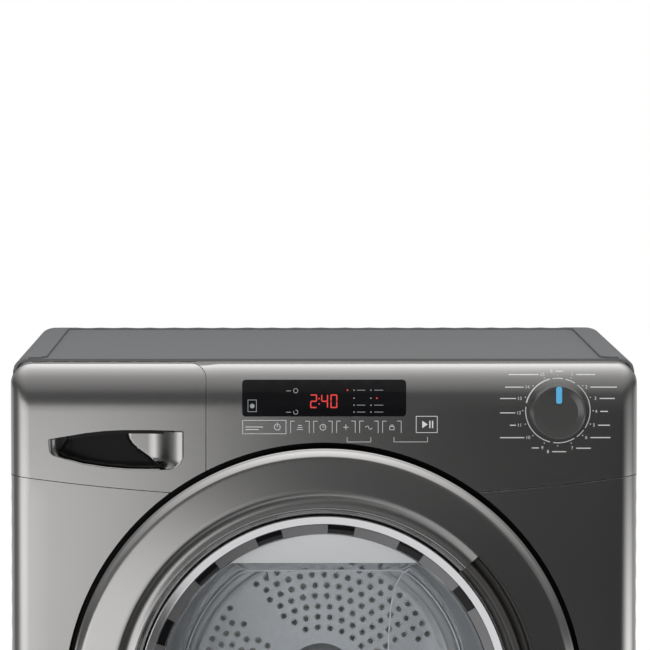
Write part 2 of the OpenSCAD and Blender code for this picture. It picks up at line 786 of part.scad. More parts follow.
module hinge_pin() {
  h = knuckle_h + 2 * ear_h + 2 * ear_gap;
  color("lightgray") {
    bar_up(hinge_x, hinge_d, door_z - h / 2, hinge_pin_r, h);
    bar_up(hinge_x, hinge_d, door_z + h / 2 + 0.1, hinge_pin_r + 1.2, 1.4);
    bar_up(hinge_x, hinge_d, door_z + h / 2 - 0.5, hinge_pin_r - 0.3, 1);
  }
}
module door_hook() {
  color("silver") {
    block(hook_x - 12, 20 + seat, door_z - 14, [16, 1.4, 28]);
    block(hook_x - 4, 20 + seat, door_z - 6, [3, recess_d + 4, 12]);
    block(hook_x - 4, recess_d + 20, door_z - 6, [8, 4, 12]);
  }
}
module door_latch() {
  d0 = recess_d + sheet_t + seat;
  color("black") difference() {
    block(hook_x - 14, d0, door_z - 30, [34, 34, 60]);
    block(hook_x - 8, d0 - 1, door_z - 10, [20, 31, 20]);
  }
}
module door_seal() {
  lip_r = bowl_root_r + 3;
  color("dimgray") turned(0, door_z) polygon([
    [throat_r - seat, recess_d + 3], [throat_r - seat, throat_d - 4], [throat_r - 4, throat_d - 4],
    [throat_r - 5, recess_d + 12], [lip_r, recess_d + 8], [lip_r, recess_d + 5],
    [throat_r - 5, recess_d + 4]]);
}

// ---- Drum and its supports ----

module drum_shell() {
  r = drum_r;
  t = drum_t;
  d0 = drum_start_d;
  d1 = drum_end_d - 2;
  b = belt_d;
  color("silver") turned(0, drum_z) polygon([
    [mouth_r, d0], [r - 4, d0], [r, d0 + 4], [r, b - 60], [r - 3, b - 54], [r - 3, b - 46],
    [r, b - 40], [r, b + 60], [r - 3, b + 66], [r - 3, b + 74], [r, b + 80], [r, d1],
    [r - t, d1], [r - t, b + 80.5], [r - t - 3, b + 74.3], [r - t - 3, b + 65.7],
    [r - t, b + 59.5], [r - t, b - 39.5], [r - t - 3, b - 45.7], [r - t - 3, b - 54.3],
    [r - t, b - 60.5], [r - t, d0 + 4.5], [r - 4.5, d0 + t], [mouth_r, d0 + t]]);
}
// Centre of each hole in the drum's back, clear of the plain strips.
function vent_points(a0) = [for (i = [0 : vent_rings - 1])
  let (r = vent_start_r + i * vent_pitch, n = floor(2 * PI * r / 12.6))
  for (k = [0 : n - 1])
    let (a = (k + (i % 2) / 2) * 360 / n, p = [r * cos(a), r * sin(a)])
    if (min([for (s = [0 : 2]) strip_gap(p, a0 + 120 * s)]) > strip_w / 2 - 1) p];
// Distance from p to the half-line at angle a; far when p lies behind the middle.
function strip_gap(p, a) =
  p[0] * cos(a) + p[1] * sin(a) > 0 ? abs(p[1] * cos(a) - p[0] * sin(a)) : 1000;
module drum_back() {
  d = drum_end_d - 2 + seat;
  ridge_r = vent_start_r + vent_rings * vent_pitch - 3;
  color("lightgray") {
    slab(d, drum_t) translate([0, drum_z]) difference() {
      circle(drum_r);
      circle(hub_r - 1);
      for (p = vent_points(133)) translate(p) circle(vent_hole_r, $fn = 6);
    }
    turned(0, drum_z) polygon([[ridge_r, d + 0.1], [ridge_r + 2, d - 3], [ridge_r + 5, d - 3],
      [ridge_r + 7, d + 0.1]]);
    turned(0, drum_z) polygon([[0, d - 12], [hub_r - 12, d - 11], [hub_r - 3, d - 6], [hub_r, d],
      [hub_r, d + drum_t], [hub_r - 3, d + drum_t], [hub_r - 5, d - 4], [hub_r - 13, d - 9],
      [0, d - 10]]);
  }
}
hub_r = 38;                                  // radius of the hub's dome
// Three hollow lifters along the drum's inside.
module drum_lifters() {
  d0 = drum_start_d + 22;
  r_out = drum_r - drum_t - 3 - seat;
  color("whitesmoke") translate([0, front_y + d0, drum_z]) for (a = [17, 137, 257])
    rotate([0, a, 0]) rotate([-90, 0, 0]) linear_extrude(lifter_len) difference() {
      lifter_section(0, r_out);
      lifter_section(2.5, r_out);
    }
}
// A lifter's cross-section, pointing inwards from radius r, inset by i.
module lifter_section(i, r) {
  w = 44 - i;
  intersection() {
    union() {
      polygon([[r - lifter_h + 8, -9 + i], [r + 9 * (i > 0 ? 1 : 0), -w], [r + 9 * (i > 0 ? 1 : 0), w],
        [r - lifter_h + 8, 9 - i]]);
      translate([r - lifter_h + 9, 0]) circle(9.2 - i);
    }
    circle(r + (i > 0 ? 9 : 0));
  }
}
module drum_shaft() {
  color("gray") difference() {
    union() {
      bar(0, drum_end_d - 2 + seat + drum_t + seat, drum_z, 46, 3);
      bar(0, drum_end_d + 2, drum_z, shaft_r, 44);
    }
    for (a = [30 : 60 : 330]) bar(36 * cos(a), drum_end_d - 3, drum_z + 36 * sin(a), 2.5, 9);
  }
}
module bearing_housing() {
  d0 = rear_bulkhead_d + 3 + seat;
  color("gray") difference() {
    union() {
      bar(0, d0, drum_z, 40, 4);
      bar(0, d0 + 3, drum_z, 20, 16);
      for (a = [0 : 60 : 300]) translate([0, front_y + d0 + 3, drum_z]) rotate([0, a, 0])
        translate([18, 0, -1.5]) cube([18, 10, 3]);
    }
    bar(0, d0 - 1, drum_z, shaft_r + pin_clearance, 30);
  }
}
module front_bulkhead() {
  plate_r = drum_r + 5;
  color("whitesmoke") difference() {
    union() {
      slab(bulkhead_d, bulkhead_t) difference() {
        intersection() {
          union() {
            translate([0, drum_z]) circle(plate_r);
            for (s = [-1, 1]) translate([s * roller_x, roller_z]) circle(18);
          }
          translate([-inner_half_w + 2, plinth_z])
            square([2 * inner_half_w - 4, tank_bottom - 4 - plinth_z]);
        }
        translate([0, door_z]) circle(throat_r + 4);
      }
      turned(0, drum_z) polygon([[mouth_r - 6, bulkhead_d + 1], [mouth_r - 3, bulkhead_d + 1],
        [mouth_r - 3, drum_start_d + 10], [mouth_r - 6, drum_start_d + 10]]);
      turned(0, door_z) polygon([[throat_r + 2, throat_d + seat], [throat_r + 5, throat_d + seat],
        [throat_r + 5, bulkhead_d + bulkhead_t], [throat_r + 2, bulkhead_d + bulkhead_t]]);
      for (a = [-1, 1]) bar(a * roller_x, bulkhead_d, roller_z, 9, roller_d - bulkhead_d - 1);
    }
    for (a = [-1, 1]) bar(a * roller_x, bulkhead_d - 1, roller_z, 4 + pin_clearance, 60);
    block(-filter_w / 2 - 1, bulkhead_d - 30, door_z - throat_r - 8, [filter_w + 2, 50, 24]);
  }
}
roller_x = (drum_r + roller_r + seat) * sin(roller_angle);
roller_z = drum_z - (drum_r + roller_r + seat) * cos(roller_angle);
roller_d = drum_start_d + 16;
filter_w = 170;
module roller_pins() {
  color("silver") for (s = [-1, 1]) {
    bar(s * roller_x, bulkhead_d + 0.5, roller_z, 4, roller_d + roller_w + 4 - bulkhead_d);
    bar(s * roller_x, roller_d + roller_w + 1, roller_z, 7, 1.5);
  }
}
module drum_roller(s) {
  color("dimgray") difference() {
    bar(s * roller_x, roller_d, roller_z, roller_r, roller_w);
    bar(s * roller_x, roller_d - 1, roller_z, 4 + pin_clearance, roller_w + 2);
  }
}
module left_roller() { drum_roller(-1); }
module right_roller() { drum_roller(1); }
module front_felt() {
  color("beige") turned(0, drum_z) translate([mouth_r - 3, drum_start_d - 5])
    square([3 - seat, 12]);
}
module rear_felt() {
  r = vent_start_r + vent_rings * vent_pitch + 14;
  color("beige") turned(0, drum_z) translate([r, drum_end_d + seat])
    square([14, rear_bulkhead_d - drum_end_d - 2 * seat]);
}
module rear_bulkhead() {
  duct_r = vent_start_r + vent_rings * vent_pitch + 8;
  color("whitesmoke") slab(rear_bulkhead_d, 3) difference() {
    translate([-inner_half_w + 2, base_z + base_wall_h + 2])
      square([2 * inner_half_w - 4, tank_bottom - base_z - base_wall_h - 12]);
    translate([0, drum_z]) difference() {
      circle(duct_r);
      circle(44);
      for (a = [30, 150, 270]) rotate(a) translate([0, -9]) square([duct_r + 5, 18]);
    }
    translate([0, drum_z]) circle(shaft_r + 4);
    translate([motor_x, motor_z]) circle(fan_r - 20);
  }
}

// ---- Drive ----

belt_len_x = motor_x;
belt_len_z = motor_z - drum_z;
belt_run = sqrt(belt_len_x ^ 2 + belt_len_z ^ 2);
belt_dir = atan2(belt_len_z, belt_len_x);
belt_lean = acos((drum_r - pulley_r) / belt_run);

// Outline of the belt's loop at distance e outside the drum and the pulley.
module belt_loop(e) {
  hull() {
    translate([0, drum_z]) circle(drum_r + e, $fn = 240);
    translate([motor_x, motor_z]) circle(pulley_r + e);
  }
}
module drive_belt() {
  color("black") slab(belt_d - belt_w / 2, belt_w) difference() {
    belt_loop(belt_t + seat);
    belt_loop(seat);
  }
}
module motor() {
  d0 = belt_d + 24;
  color("gray") difference() {
    union() {
      bar(motor_x, d0, motor_z, motor_r, 110);
      for (d = [d0 - 6, d0 + 109]) bar(motor_x, d, motor_z, 22, 7);
      for (a = [0 : 30 : 330]) translate([motor_x, front_y + d0 + 8, motor_z]) rotate([0, a, 0])
        translate([motor_r - 2, 0, -1.5]) cube([5, 94, 3]);
    }
    bar(motor_x, d0 - 20, motor_z, 5 + pin_clearance, 200);
  }
}
module motor_bracket() {
  color("silver") for (d = [belt_d + 40, belt_d + 110]) difference() {
    slab(d, 4) translate([motor_x - 40, rib_z + seat]) square([80, motor_z - rib_z]);
    bar(motor_x, d - 1, motor_z, motor_r + 3 + seat, 6);
  }
}
module motor_shaft() {
  color("silver") {
    bar(motor_x, belt_d - 14, motor_z, 5, fan_d + 34 - belt_d);
    turned(motor_x, motor_z) polygon([[4.9, belt_d - 9], [pulley_r + 3, belt_d - 9],
      [pulley_r + 3, belt_d - 7], [pulley_r, belt_d - 6], [pulley_r, belt_d + 6],
      [pulley_r + 3, belt_d + 7], [pulley_r + 3, belt_d + 9], [4.9, belt_d + 9]]);
  }
}
fan_d = 448;                                 // depth at which the fan wheel begins
module fan_wheel() {
  color("darkslategray") {
    difference() {
      union() {
        bar(motor_x, fan_d, motor_z, fan_r, 2);
        bar(motor_x, fan_d, motor_z, 12, 18);
      }
      bar(motor_x, fan_d - 1, motor_z, 5 + 0.05, 30);
    }
    turned(motor_x, motor_z) translate([fan_r - 12, fan_d + 34]) square([12, 2.5]);
    for (k = [0 : fan_blades - 1]) translate([motor_x, front_y + fan_d + 1.5, motor_z])
      rotate([0, k * 360 / fan_blades, 0]) translate([fan_r - 14, 0, 0]) rotate([0, 24, 0])
        cube([11, 33, 1.6]);
  }
}
module fan_housing() {
  r = fan_r + 8;
  color("darkgray") difference() {
    slab(fan_d - 8, 54) union() {
      translate([motor_x, motor_z]) circle(r + 3);
      translate([motor_x, motor_z - r - 3]) square([r * 0.7, r]);
      translate([motor_x - 30, rib_z + seat]) square([60, motor_z - r - rib_z]);
    }
    slab(fan_d - 5, 60) {
      translate([motor_x, motor_z]) circle(r);
      translate([motor_x, motor_z - r]) square([r * 0.7 - 3, r]);
    }
    bar(motor_x, fan_d - 20, motor_z, 14, 40);
  }
}
idler_side = belt_dir + belt_lean;
idler_along = 0.8;                           // share of the belt's straight run
idler_x = drum_r * cos(idler_side) * (1 - idler_along)
  + (motor_x + pulley_r * cos(idler_side)) * idler_along
  + (belt_t + 2 * seat + idler_r) * cos(idler_side);
idler_z = drum_z + drum_r * sin(idler_side) * (1 - idler_along)
  + (belt_len_z + pulley_r * sin(idler_side)) * idler_along
  + (belt_t + 2 * seat + idler_r) * sin(idler_side);
module idler_pulley() {
  color("black") difference() {
    bar(idler_x, belt_d - 7, idler_z, idler_r, 14);
    bar(idler_x, belt_d - 8, idler_z, 4 + pin_clearance, 16);
  }
}
module idler_bracket() {
  color("silver") {
    bar(idler_x, belt_d - 8, idler_z, 4, 26);
    slab(belt_d + 12, 4) {
      translate([idler_x, idler_z]) circle(10);
      translate([idler_x - 10, base_z + base_t + seat])
        square([20, idler_z - base_z - base_t]);
    }
  }
}

// ---- Heat pump, ducts and pump ----

compressor_x = 178;
compressor_d = 140;
compressor_z = base_z + base_t + 24;
module compressor() {
  r = compressor_r;
  h = compressor_h;
  color("black") {
    translate([compressor_x, front_y + compressor_d, compressor_z]) rotate_extrude() {
      translate([0, 14]) square([r, h - 34]);
      polygon([[0, 0], [r - 22, 0], [r - 8, 4], [r, 14.1], [0, 14.1]]);
      polygon([[0, h], [r - 34, h - 2], [r - 14, h - 8], [r, h - 20.1], [0, h - 20.1]]);
    }
    for (a = [0 : 120 : 240]) {
      bar_up(compressor_x + 52 * cos(a), compressor_d + 52 * sin(a), base_z + base_t + seat, 9,
        23.7 - seat);
      bar_up(compressor_x + 52 * cos(a), compressor_d + 52 * sin(a), compressor_z - 0.4, 12, 3);
    }
  }
}
coil_x = -inner_half_w + 14;
coil_z = base_z + 26;
evaporator_d = 84;
condenser_d = evaporator_d + evaporator_len + 24;
module finned_coil(d, len) {
  for (k = [0 : floor(coil_w / fin_pitch)])
    block(coil_x + k * fin_pitch, d, coil_z, [1, len, coil_h]);
  for (row = [16 : 34 : len - 10], z = [18 : 38 : coil_h - 10])
    translate([coil_x - 3, front_y + d + row, coil_z + z]) rotate([0, 90, 0])
      cylinder(r = pipe_r, h = coil_w + 8);
}
module evaporator_coil() { color("silver") finned_coil(evaporator_d, evaporator_len); }
module condenser_coil() { color("silver") finned_coil(condenser_d, condenser_len); }
module refrigerant_pipes() {
  x1 = coil_x + coil_w + 5 + seat;
  x2 = compressor_x - compressor_r - seat;
  z1 = coil_z + 18;
  color("peru") {
    for (d = [compressor_d - 10, compressor_d + 10])
      translate([x1 + (d > compressor_d ? 20 : 0), front_y + d, z1 + 38]) rotate([0, 90, 0])
        cylinder(r = pipe_r, h = x2 + 0.4 - x1 - (d > compressor_d ? 20 : 0));
    translate([x1 + 20, front_y + compressor_d + 10, z1 + 38]) rotate([-90, 0, 0])
      cylinder(r = pipe_r, h = condenser_d - compressor_d + 6);
    translate([x1, front_y + condenser_d + 16, z1 + 38]) rotate([0, 90, 0])
      cylinder(r = pipe_r, h = 20);
  }
}
module lint_filter() {
  w = filter_w - 6;
  color("lightgray") difference() {
    block(-w / 2, throat_d + 3, door_z - throat_r - 92, [w, 12, 96]);
    for (x = [-w / 2 + 6 : 26.3 : w / 2 - 20])
      block(x, throat_d, door_z - throat_r - 84, [22, 20, 64]);
    block(-30, throat_d + 2, door_z - throat_r - 12, [60, 6, 10]);
  }
}
module filter_duct() {
  w = filter_w;
  z0 = base_z + base_wall_h + 100;
  color("whitesmoke") difference() {
    block(-w / 2 - 2, throat_d + 1, z0, [w + 4, 16.5, door_z - throat_r - 6 - z0]);
    block(-w / 2 + 1, throat_d + 2.4, z0 + 3, [w - 2, 13.6, far]);
    block(-w / 2 + 1, throat_d + 8, z0 + 3, [w - 2, 20, 40]);
  }
}
pump_x = -210;
pump_d = 470;
module drain_pump() {
  z0 = base_z + base_t + seat;
  color("black") {
    bar_up(pump_x, pump_d, z0, 26, 30);
    bar_up(pump_x, pump_d, z0 + 29, 20, 34);
    block(pump_x - 5, pump_d + 18, z0 + 6, [10, 24, 12]);
  }
}
module drain_pipe() {
  x = pump_x - 42;
  d = rear_bulkhead_d + 22;
  z0 = base_z + base_t + 12;
  z1 = tank_bottom - 12;
  color("gainsboro") {
    translate([pump_x, front_y + d, z0]) rotate([0, -90, 0]) cylinder(r = drain_r, h = 42);
    translate([pump_x, front_y + pump_d + 42 + seat, z0]) rotate([-90, 0, 0])
      cylinder(r = drain_r, h = d - pump_d - 42 - seat);
    bar_up(x, d, z0, drain_r, z1 - z0);
    for (p = [[x, d, z0], [x, d, z1], [pump_x, d, z0]])
      translate([p[0], front_y + p[1], p[2]]) sphere(drain_r);
    translate([x, front_y + d - 14, z1]) rotate([-90, 0, 0]) cylinder(r = drain_r, h = 14);
  }
}

base_tray();
levelling_feet();
left_side_panel();
right_side_panel();
rear_panel();
rear_duct_cover();
front_panel();
plinth_panel();
worktop_frame();
worktop_board();
control_fascia();
control_housing();
display_window();
control_board();
selector_switch();
container_tray();
front_bulkhead();
front_felt();
rear_bulkhead();
rear_felt();
bearing_housing();
roller_pins();
door_seal();
door_latch();
hinge_bracket();
hinge_pin();
lint_filter();
filter_duct();
drive_belt();
motor();
motor_bracket();
fan_housing();
compressor();
evaporator_coil();
condenser_coil();
refrigerant_pipes();
drain_pump();
drain_pipe();
idler_bracket();
drum_shell();
drum_back();
drum_lifters();
drum_shaft();
motor_shaft();
fan_wheel();
idler_pulley();
left_roller();
right_roller();
door_bezel();
door_rear_frame();
door_glass();
door_handle();
hinge_leaf();
door_hook();
container_front();
water_container();
selector_knob();
service_flap();
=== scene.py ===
import json
import math
from math import cos, pi, radians, sin, sqrt

import bmesh
import bpy
from mathutils import Matrix, Vector
from mathutils.geometry import delaunay_2d_cdt

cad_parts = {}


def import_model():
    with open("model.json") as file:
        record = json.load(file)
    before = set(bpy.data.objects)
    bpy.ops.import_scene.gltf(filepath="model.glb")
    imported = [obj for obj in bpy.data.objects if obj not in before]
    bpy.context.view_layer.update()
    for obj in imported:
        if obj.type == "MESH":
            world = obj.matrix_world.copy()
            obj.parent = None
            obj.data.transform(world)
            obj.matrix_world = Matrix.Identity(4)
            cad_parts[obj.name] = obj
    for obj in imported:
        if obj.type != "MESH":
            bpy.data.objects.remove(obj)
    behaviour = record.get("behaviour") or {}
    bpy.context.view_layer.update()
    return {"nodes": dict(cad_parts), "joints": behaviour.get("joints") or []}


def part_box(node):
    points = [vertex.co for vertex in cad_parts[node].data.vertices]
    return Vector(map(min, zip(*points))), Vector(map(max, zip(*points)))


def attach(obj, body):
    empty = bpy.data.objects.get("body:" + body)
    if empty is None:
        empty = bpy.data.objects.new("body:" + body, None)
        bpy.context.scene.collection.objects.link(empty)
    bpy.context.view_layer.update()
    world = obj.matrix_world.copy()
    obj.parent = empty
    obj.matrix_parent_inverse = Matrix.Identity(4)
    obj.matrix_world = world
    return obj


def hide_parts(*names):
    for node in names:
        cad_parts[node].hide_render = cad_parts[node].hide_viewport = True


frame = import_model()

MM = 0.001

# ---- Places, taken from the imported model, in millimetres ----


def node_box(name):
    """A node's lowest and highest corners."""
    low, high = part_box(name)
    return [v / MM for v in low], [v / MM for v in high]


def joint_place(name):
    joint = next(j for j in frame["joints"] if j["name"] == name)
    return [v / MM for v in joint["pos_m"]]


PANEL_LOW, PANEL_HIGH = node_box("front_panel")
HALF_W, FRONT = PANEL_HIGH[0], PANEL_LOW[1]
TOP = node_box("control_fascia")[1][2]
PLINTH_TOP = node_box("plinth_panel")[1][2]
WINDOW_LOW, WINDOW_HIGH = node_box("display_window")
WORKTOP_LOW, WORKTOP_HIGH = node_box("worktop_frame")
BEZEL_LOW, BEZEL_HIGH = node_box("door_bezel")
DOOR_Z = (BEZEL_LOW[2] + BEZEL_HIGH[2]) / 2
DOOR_R, DOOR_PROUD = BEZEL_HIGH[0], FRONT - BEZEL_LOW[1]
DRUM_Z = joint_place("drum_spin")[2]
DRUM_R = node_box("drum_back")[1][0]
DRUM_START = node_box("drum_shell")[0][1] - FRONT
DRUM_BACK = node_box("drum_back")[1][1] - FRONT
KNOB_LOW, KNOB_HIGH = node_box("selector_knob")
KNOB_X, _, KNOB_Z = joint_place("selector_turn")
KNOB_R, KNOB_PROUD = (KNOB_HIGH[0] - KNOB_LOW[0]) / 2, FRONT - KNOB_LOW[1]
DOOR_MID, DRUM_MID, KNOB_MID = (0, DOOR_Z), (0, DRUM_Z), (KNOB_X, KNOB_Z)

# ---- Sizes of the dressed forms, in millimetres ----

EDGE_R = 18                         # upright front edges of the cabinet
ROLL_D, ROLL_H = 16, 42             # rolled top edge of the fascia, seen from the side
ROLL_LEN = 48                       # the same edge, measured along the skin
CORNER_R = 22                       # upper corners, seen from the front
SKIN_WALL = 2.4                     # wall of the lacquered plastic skins
FASCIA_END = WORKTOP_LOW[1] - FRONT - 0.6
SEAM_LOW, SEAM_R = TOP - 129, 2059  # curved seam under the fascia: its lowest point and its radius
SEAM_GAP, DRAWER_GAP = 0.3, 0.18    # half of that seam, and half of the one round the drawer front
DRAWER_X, DRAWER_TOP = -112, TOP - 1.6
RECESS_R, RECESS_D = 248.5, 22      # the black recess round the door
THROAT_R = 182                      # inner edge of the recess
SKIN_HOLE_R = RECESS_R - 0.7        # round opening in the front's skins
LIP_R = DOOR_R + 0.7                # outer edge of the bezel
RING_R = 200                        # step in the bezel, where the grip begins
BEZEL_R = 178                       # inner edge of the bezel
GRIP_ARC = 88                       # degrees of the bezel that the grip takes
BOWL_ROOT, BOWL_END, BOWL_DEPTH = 163.5, 144, 124
FLANGE_D, FACET_D = 7.4, 30         # depths where the bowl's flange and its slanted facet end
FLAT_TOP = ((FLANGE_D, BOWL_ROOT), (FACET_D, 133.7), (BOWL_DEPTH, 115))  # depth, height over the door's middle
PRINT_RAISED = 0.12                 # height of printed marks over the skin

# ---- Shader groups ----

RELIEF_DEPTH = 0.0002   # metres
CLOUD_SCALE = 9
SMEAR_SCALE = 14
SMEAR_ROUGHNESS = 0.004
OUTPUTS = (("Color", "NodeSocketColor"), ("Roughness", "NodeSocketFloat"), ("Normal", "NodeSocketVector"))


def node(tree, kind, label, **values):
    made = tree.nodes.new(kind)
    made.label = label
    for key, value in values.items():
        setattr(made, key, value)
    return made


def object_place(tree):
    return node(tree, "ShaderNodeTexCoord", "place").outputs["Object"]


def noise(tree, label, detail, place, scale):
    """A noise's strength at a place. The scale is a number or another node's output."""
    made = node(tree, "ShaderNodeTexNoise", label)
    made.inputs["Detail"].default_value = detail
    tree.links.new(place, made.inputs["Vector"])
    if isinstance(scale, int):
        made.inputs["Scale"].default_value = scale
    else:
        tree.links.new(scale, made.inputs["Scale"])
    return made.outputs["Fac"]


def surface_group(name, inputs):
    """A shader group with these named inputs, that puts out a colour, a roughness and a normal."""
    tree = bpy.data.node_groups.new(name, "ShaderNodeTree")
    kinds = {3: "NodeSocketVector", 4: "NodeSocketColor"}
    for label, value in inputs.items():
        kind = kinds[len(value)] if isinstance(value, tuple) else "NodeSocketFloat"
        tree.interface.new_socket(label, in_out="INPUT", socket_type=kind).default_value = value
    for label, kind in OUTPUTS:
        tree.interface.new_socket(label, in_out="OUTPUT", socket_type=kind)
    return tree, node(tree, "NodeGroupInput", "given"), node(tree, "NodeGroupOutput", "result")


def mix_tones(tree, given, result, share, second):
    """The colour: the given tone and the second one, mixed by the share."""
    tone = node(tree, "ShaderNodeMix", "tone", data_type="RGBA")
    tree.links.new(share, tone.inputs["Factor"])
    tree.links.new(given.outputs["Tone"], tone.inputs["A"])
    tree.links.new(given.outputs[second], tone.inputs["B"])
    tree.links.new(tone.outputs["Result"], result.inputs["Color"])


def vary_roughness(tree, given, result, play, spread):
    """The roughness: the given one, and the play times the spread on top."""
    rough = node(tree, "ShaderNodeMath", "varied roughness", operation="MULTIPLY_ADD")
    tree.links.new(play, rough.inputs[0])
    tree.links.new(given.outputs[spread], rough.inputs[1])
    tree.links.new(given.outputs["Roughness"], rough.inputs[2])
    tree.links.new(rough.outputs[0], result.inputs["Roughness"])


def raise_relief(tree, given, result, height):
    """The normal: the height's relief, as strong as given."""
    bump = node(tree, "ShaderNodeBump", "relief")
    bump.inputs["Distance"].default_value = RELIEF_DEPTH
    tree.links.new(given.outputs["Relief"], bump.inputs["Strength"])
    tree.links.new(height, bump.inputs["Height"])
    tree.links.new(bump.outputs["Normal"], result.inputs["Normal"])


def painted_play():
    """Two close tones in fine specks, a roughness in broad clouds, and the peel of paint or moulding as relief."""
    tree, given, result = surface_group("paint_play", {
        "Tone": (0.2, 0.2, 0.2, 1), "Speck Tone": (0.25, 0.25, 0.25, 1), "Speck Scale": 2500, "Speck Share": 0.5,
        "Roughness": 0.3, "Haze": 0.05, "Relief Scale": 220, "Relief": 0.05})
    place = object_place(tree)
    share = node(tree, "ShaderNodeMath", "share of specks", operation="MULTIPLY")
    tree.links.new(noise(tree, "specks", 2, place, given.outputs["Speck Scale"]), share.inputs[0])
    tree.links.new(given.outputs["Speck Share"], share.inputs[1])
    mix_tones(tree, given, result, share.outputs[0], "Speck Tone")
    centred = node(tree, "ShaderNodeMath", "centred", operation="SUBTRACT")
    tree.links.new(noise(tree, "clouds", 3, place, CLOUD_SCALE), centred.inputs[0])
    centred.inputs[1].default_value = 0.5
    vary_roughness(tree, given, result, centred.outputs[0], "Haze")
    raise_relief(tree, given, result, noise(tree, "peel", 1, place, given.outputs["Relief Scale"]))
    return tree


def drawn_play():
    """Fine parallel lines, as rolling and drawing leave on sheet metal."""
    tree, given, result = surface_group("drawn_play", {
        "Tone": (0.5, 0.5, 0.5, 1), "Line Tone": (0.6, 0.6, 0.6, 1), "Direction": (1, 1, 30), "Scale": 60,
        "Roughness": 0.35, "Spread": 0.1, "Relief": 0.1})
    stretch = node(tree, "ShaderNodeVectorMath", "stretch", operation="MULTIPLY")
    tree.links.new(object_place(tree), stretch.inputs[0])
    tree.links.new(given.outputs["Direction"], stretch.inputs[1])
    lines = noise(tree, "lines", 4, stretch.outputs[0], given.outputs["Scale"])
    mix_tones(tree, given, result, lines, "Line Tone")
    vary_roughness(tree, given, result, lines, "Spread")
    raise_relief(tree, given, result, lines)
    return tree


PAINT = painted_play()
DRAWN = drawn_play()

# ---- Materials ----


def rgba(colour):
    """A colour with its alpha, from three shares or from one grey."""
    if not isinstance(colour, tuple):
        colour = (colour, colour, colour)
    return (*colour, 1)


def new_material(name, **surface):
    """A material, its tree and its Principled shader, whose own sockets take the surface's values."""
    material = bpy.data.materials.new(name)
    material.use_nodes = True
    shader = material.node_tree.nodes["Principled BSDF"]
    for key, value in surface.items():
        socket = key.replace("_", " ").title().replace("Ior", "IOR")
        shader.inputs[socket].default_value = rgba(value) if socket.endswith("Color") else value
    return material, material.node_tree, shader


def finish(name, group, values, **surface):
    """A material: one of the shared groups feeds a Principled shader, whose own sockets hold the rest."""
    material, tree, shader = new_material(name, **surface)
    play = node(tree, "ShaderNodeGroup", "surface play", node_tree=group)
    for key, value in values.items():
        play.inputs[key].default_value = rgba(value) if "Tone" in key else value
    for name_out, name_in in (("Color", "Base Color"), ("Roughness", "Roughness"), ("Normal", "Normal")):
        tree.links.new(play.outputs[name_out], shader.inputs[name_in])
    return material


def painted(name, tone, speck, rough, metallic=0.0, haze=0.05, relief=0.05, relief_scale=220,
            speck_scale=2500, share=0.5, **surface):
    return finish(name, PAINT, {
        "Tone": tone, "Speck Tone": speck, "Speck Scale": speck_scale, "Speck Share": share,
        "Roughness": rough, "Haze": haze, "Relief Scale": relief_scale, "Relief": relief},
        metallic=metallic, **surface)


def rolled(name, tone, line, rough, direction, scale, metallic=1.0, spread=0.1, relief=0.1):
    return finish(name, DRAWN, {
        "Tone": tone, "Line Tone": line, "Direction": direction, "Scale": scale,
        "Roughness": rough, "Spread": spread, "Relief": relief}, metallic=metallic)


def glowing(name, colour, strength):
    """Light from behind a printed mark."""
    return painted(name, (0.02, 0.02, 0.02), (0.05, 0.05, 0.05), 0.4, emission_color=colour,
                   emission_strength=strength)


def clear(name, tint, ior):
    """Smooth glass with faint smears, that lets the lamps through to what is behind it."""
    material, tree, shader = new_material(name, base_color=tint, transmission_weight=1, ior=ior)
    haze = node(tree, "ShaderNodeMapRange", "smear's roughness")
    haze.inputs["To Max"].default_value = SMEAR_ROUGHNESS
    tree.links.new(noise(tree, "smears", 2, object_place(tree), SMEAR_SCALE), haze.inputs["Value"])
    tree.links.new(haze.outputs["Result"], shader.inputs["Roughness"])
    path = node(tree, "ShaderNodeLightPath", "ray")
    through = node(tree, "ShaderNodeBsdfTransparent", "lamp rays")
    through.inputs["Color"].default_value = (0.93, 0.94, 0.94, 1)
    mix = node(tree, "ShaderNodeMixShader", "glass or lamp ray")
    tree.links.new(path.outputs["Is Shadow Ray"], mix.inputs["Fac"])
    tree.links.new(shader.outputs["BSDF"], mix.inputs[1])
    tree.links.new(through.outputs["BSDF"], mix.inputs[2])
    tree.links.new(mix.outputs["Shader"], tree.nodes["Material Output"].inputs["Surface"])
    return material


def graphite(name, relief):
    """Dark metallic lacquer over metal or plastic."""
    return painted(name, (0.209, 0.206, 0.203), (0.304, 0.300, 0.297), 0.2, metallic=1.0, haze=0.03,
                   relief=relief, relief_scale=160)


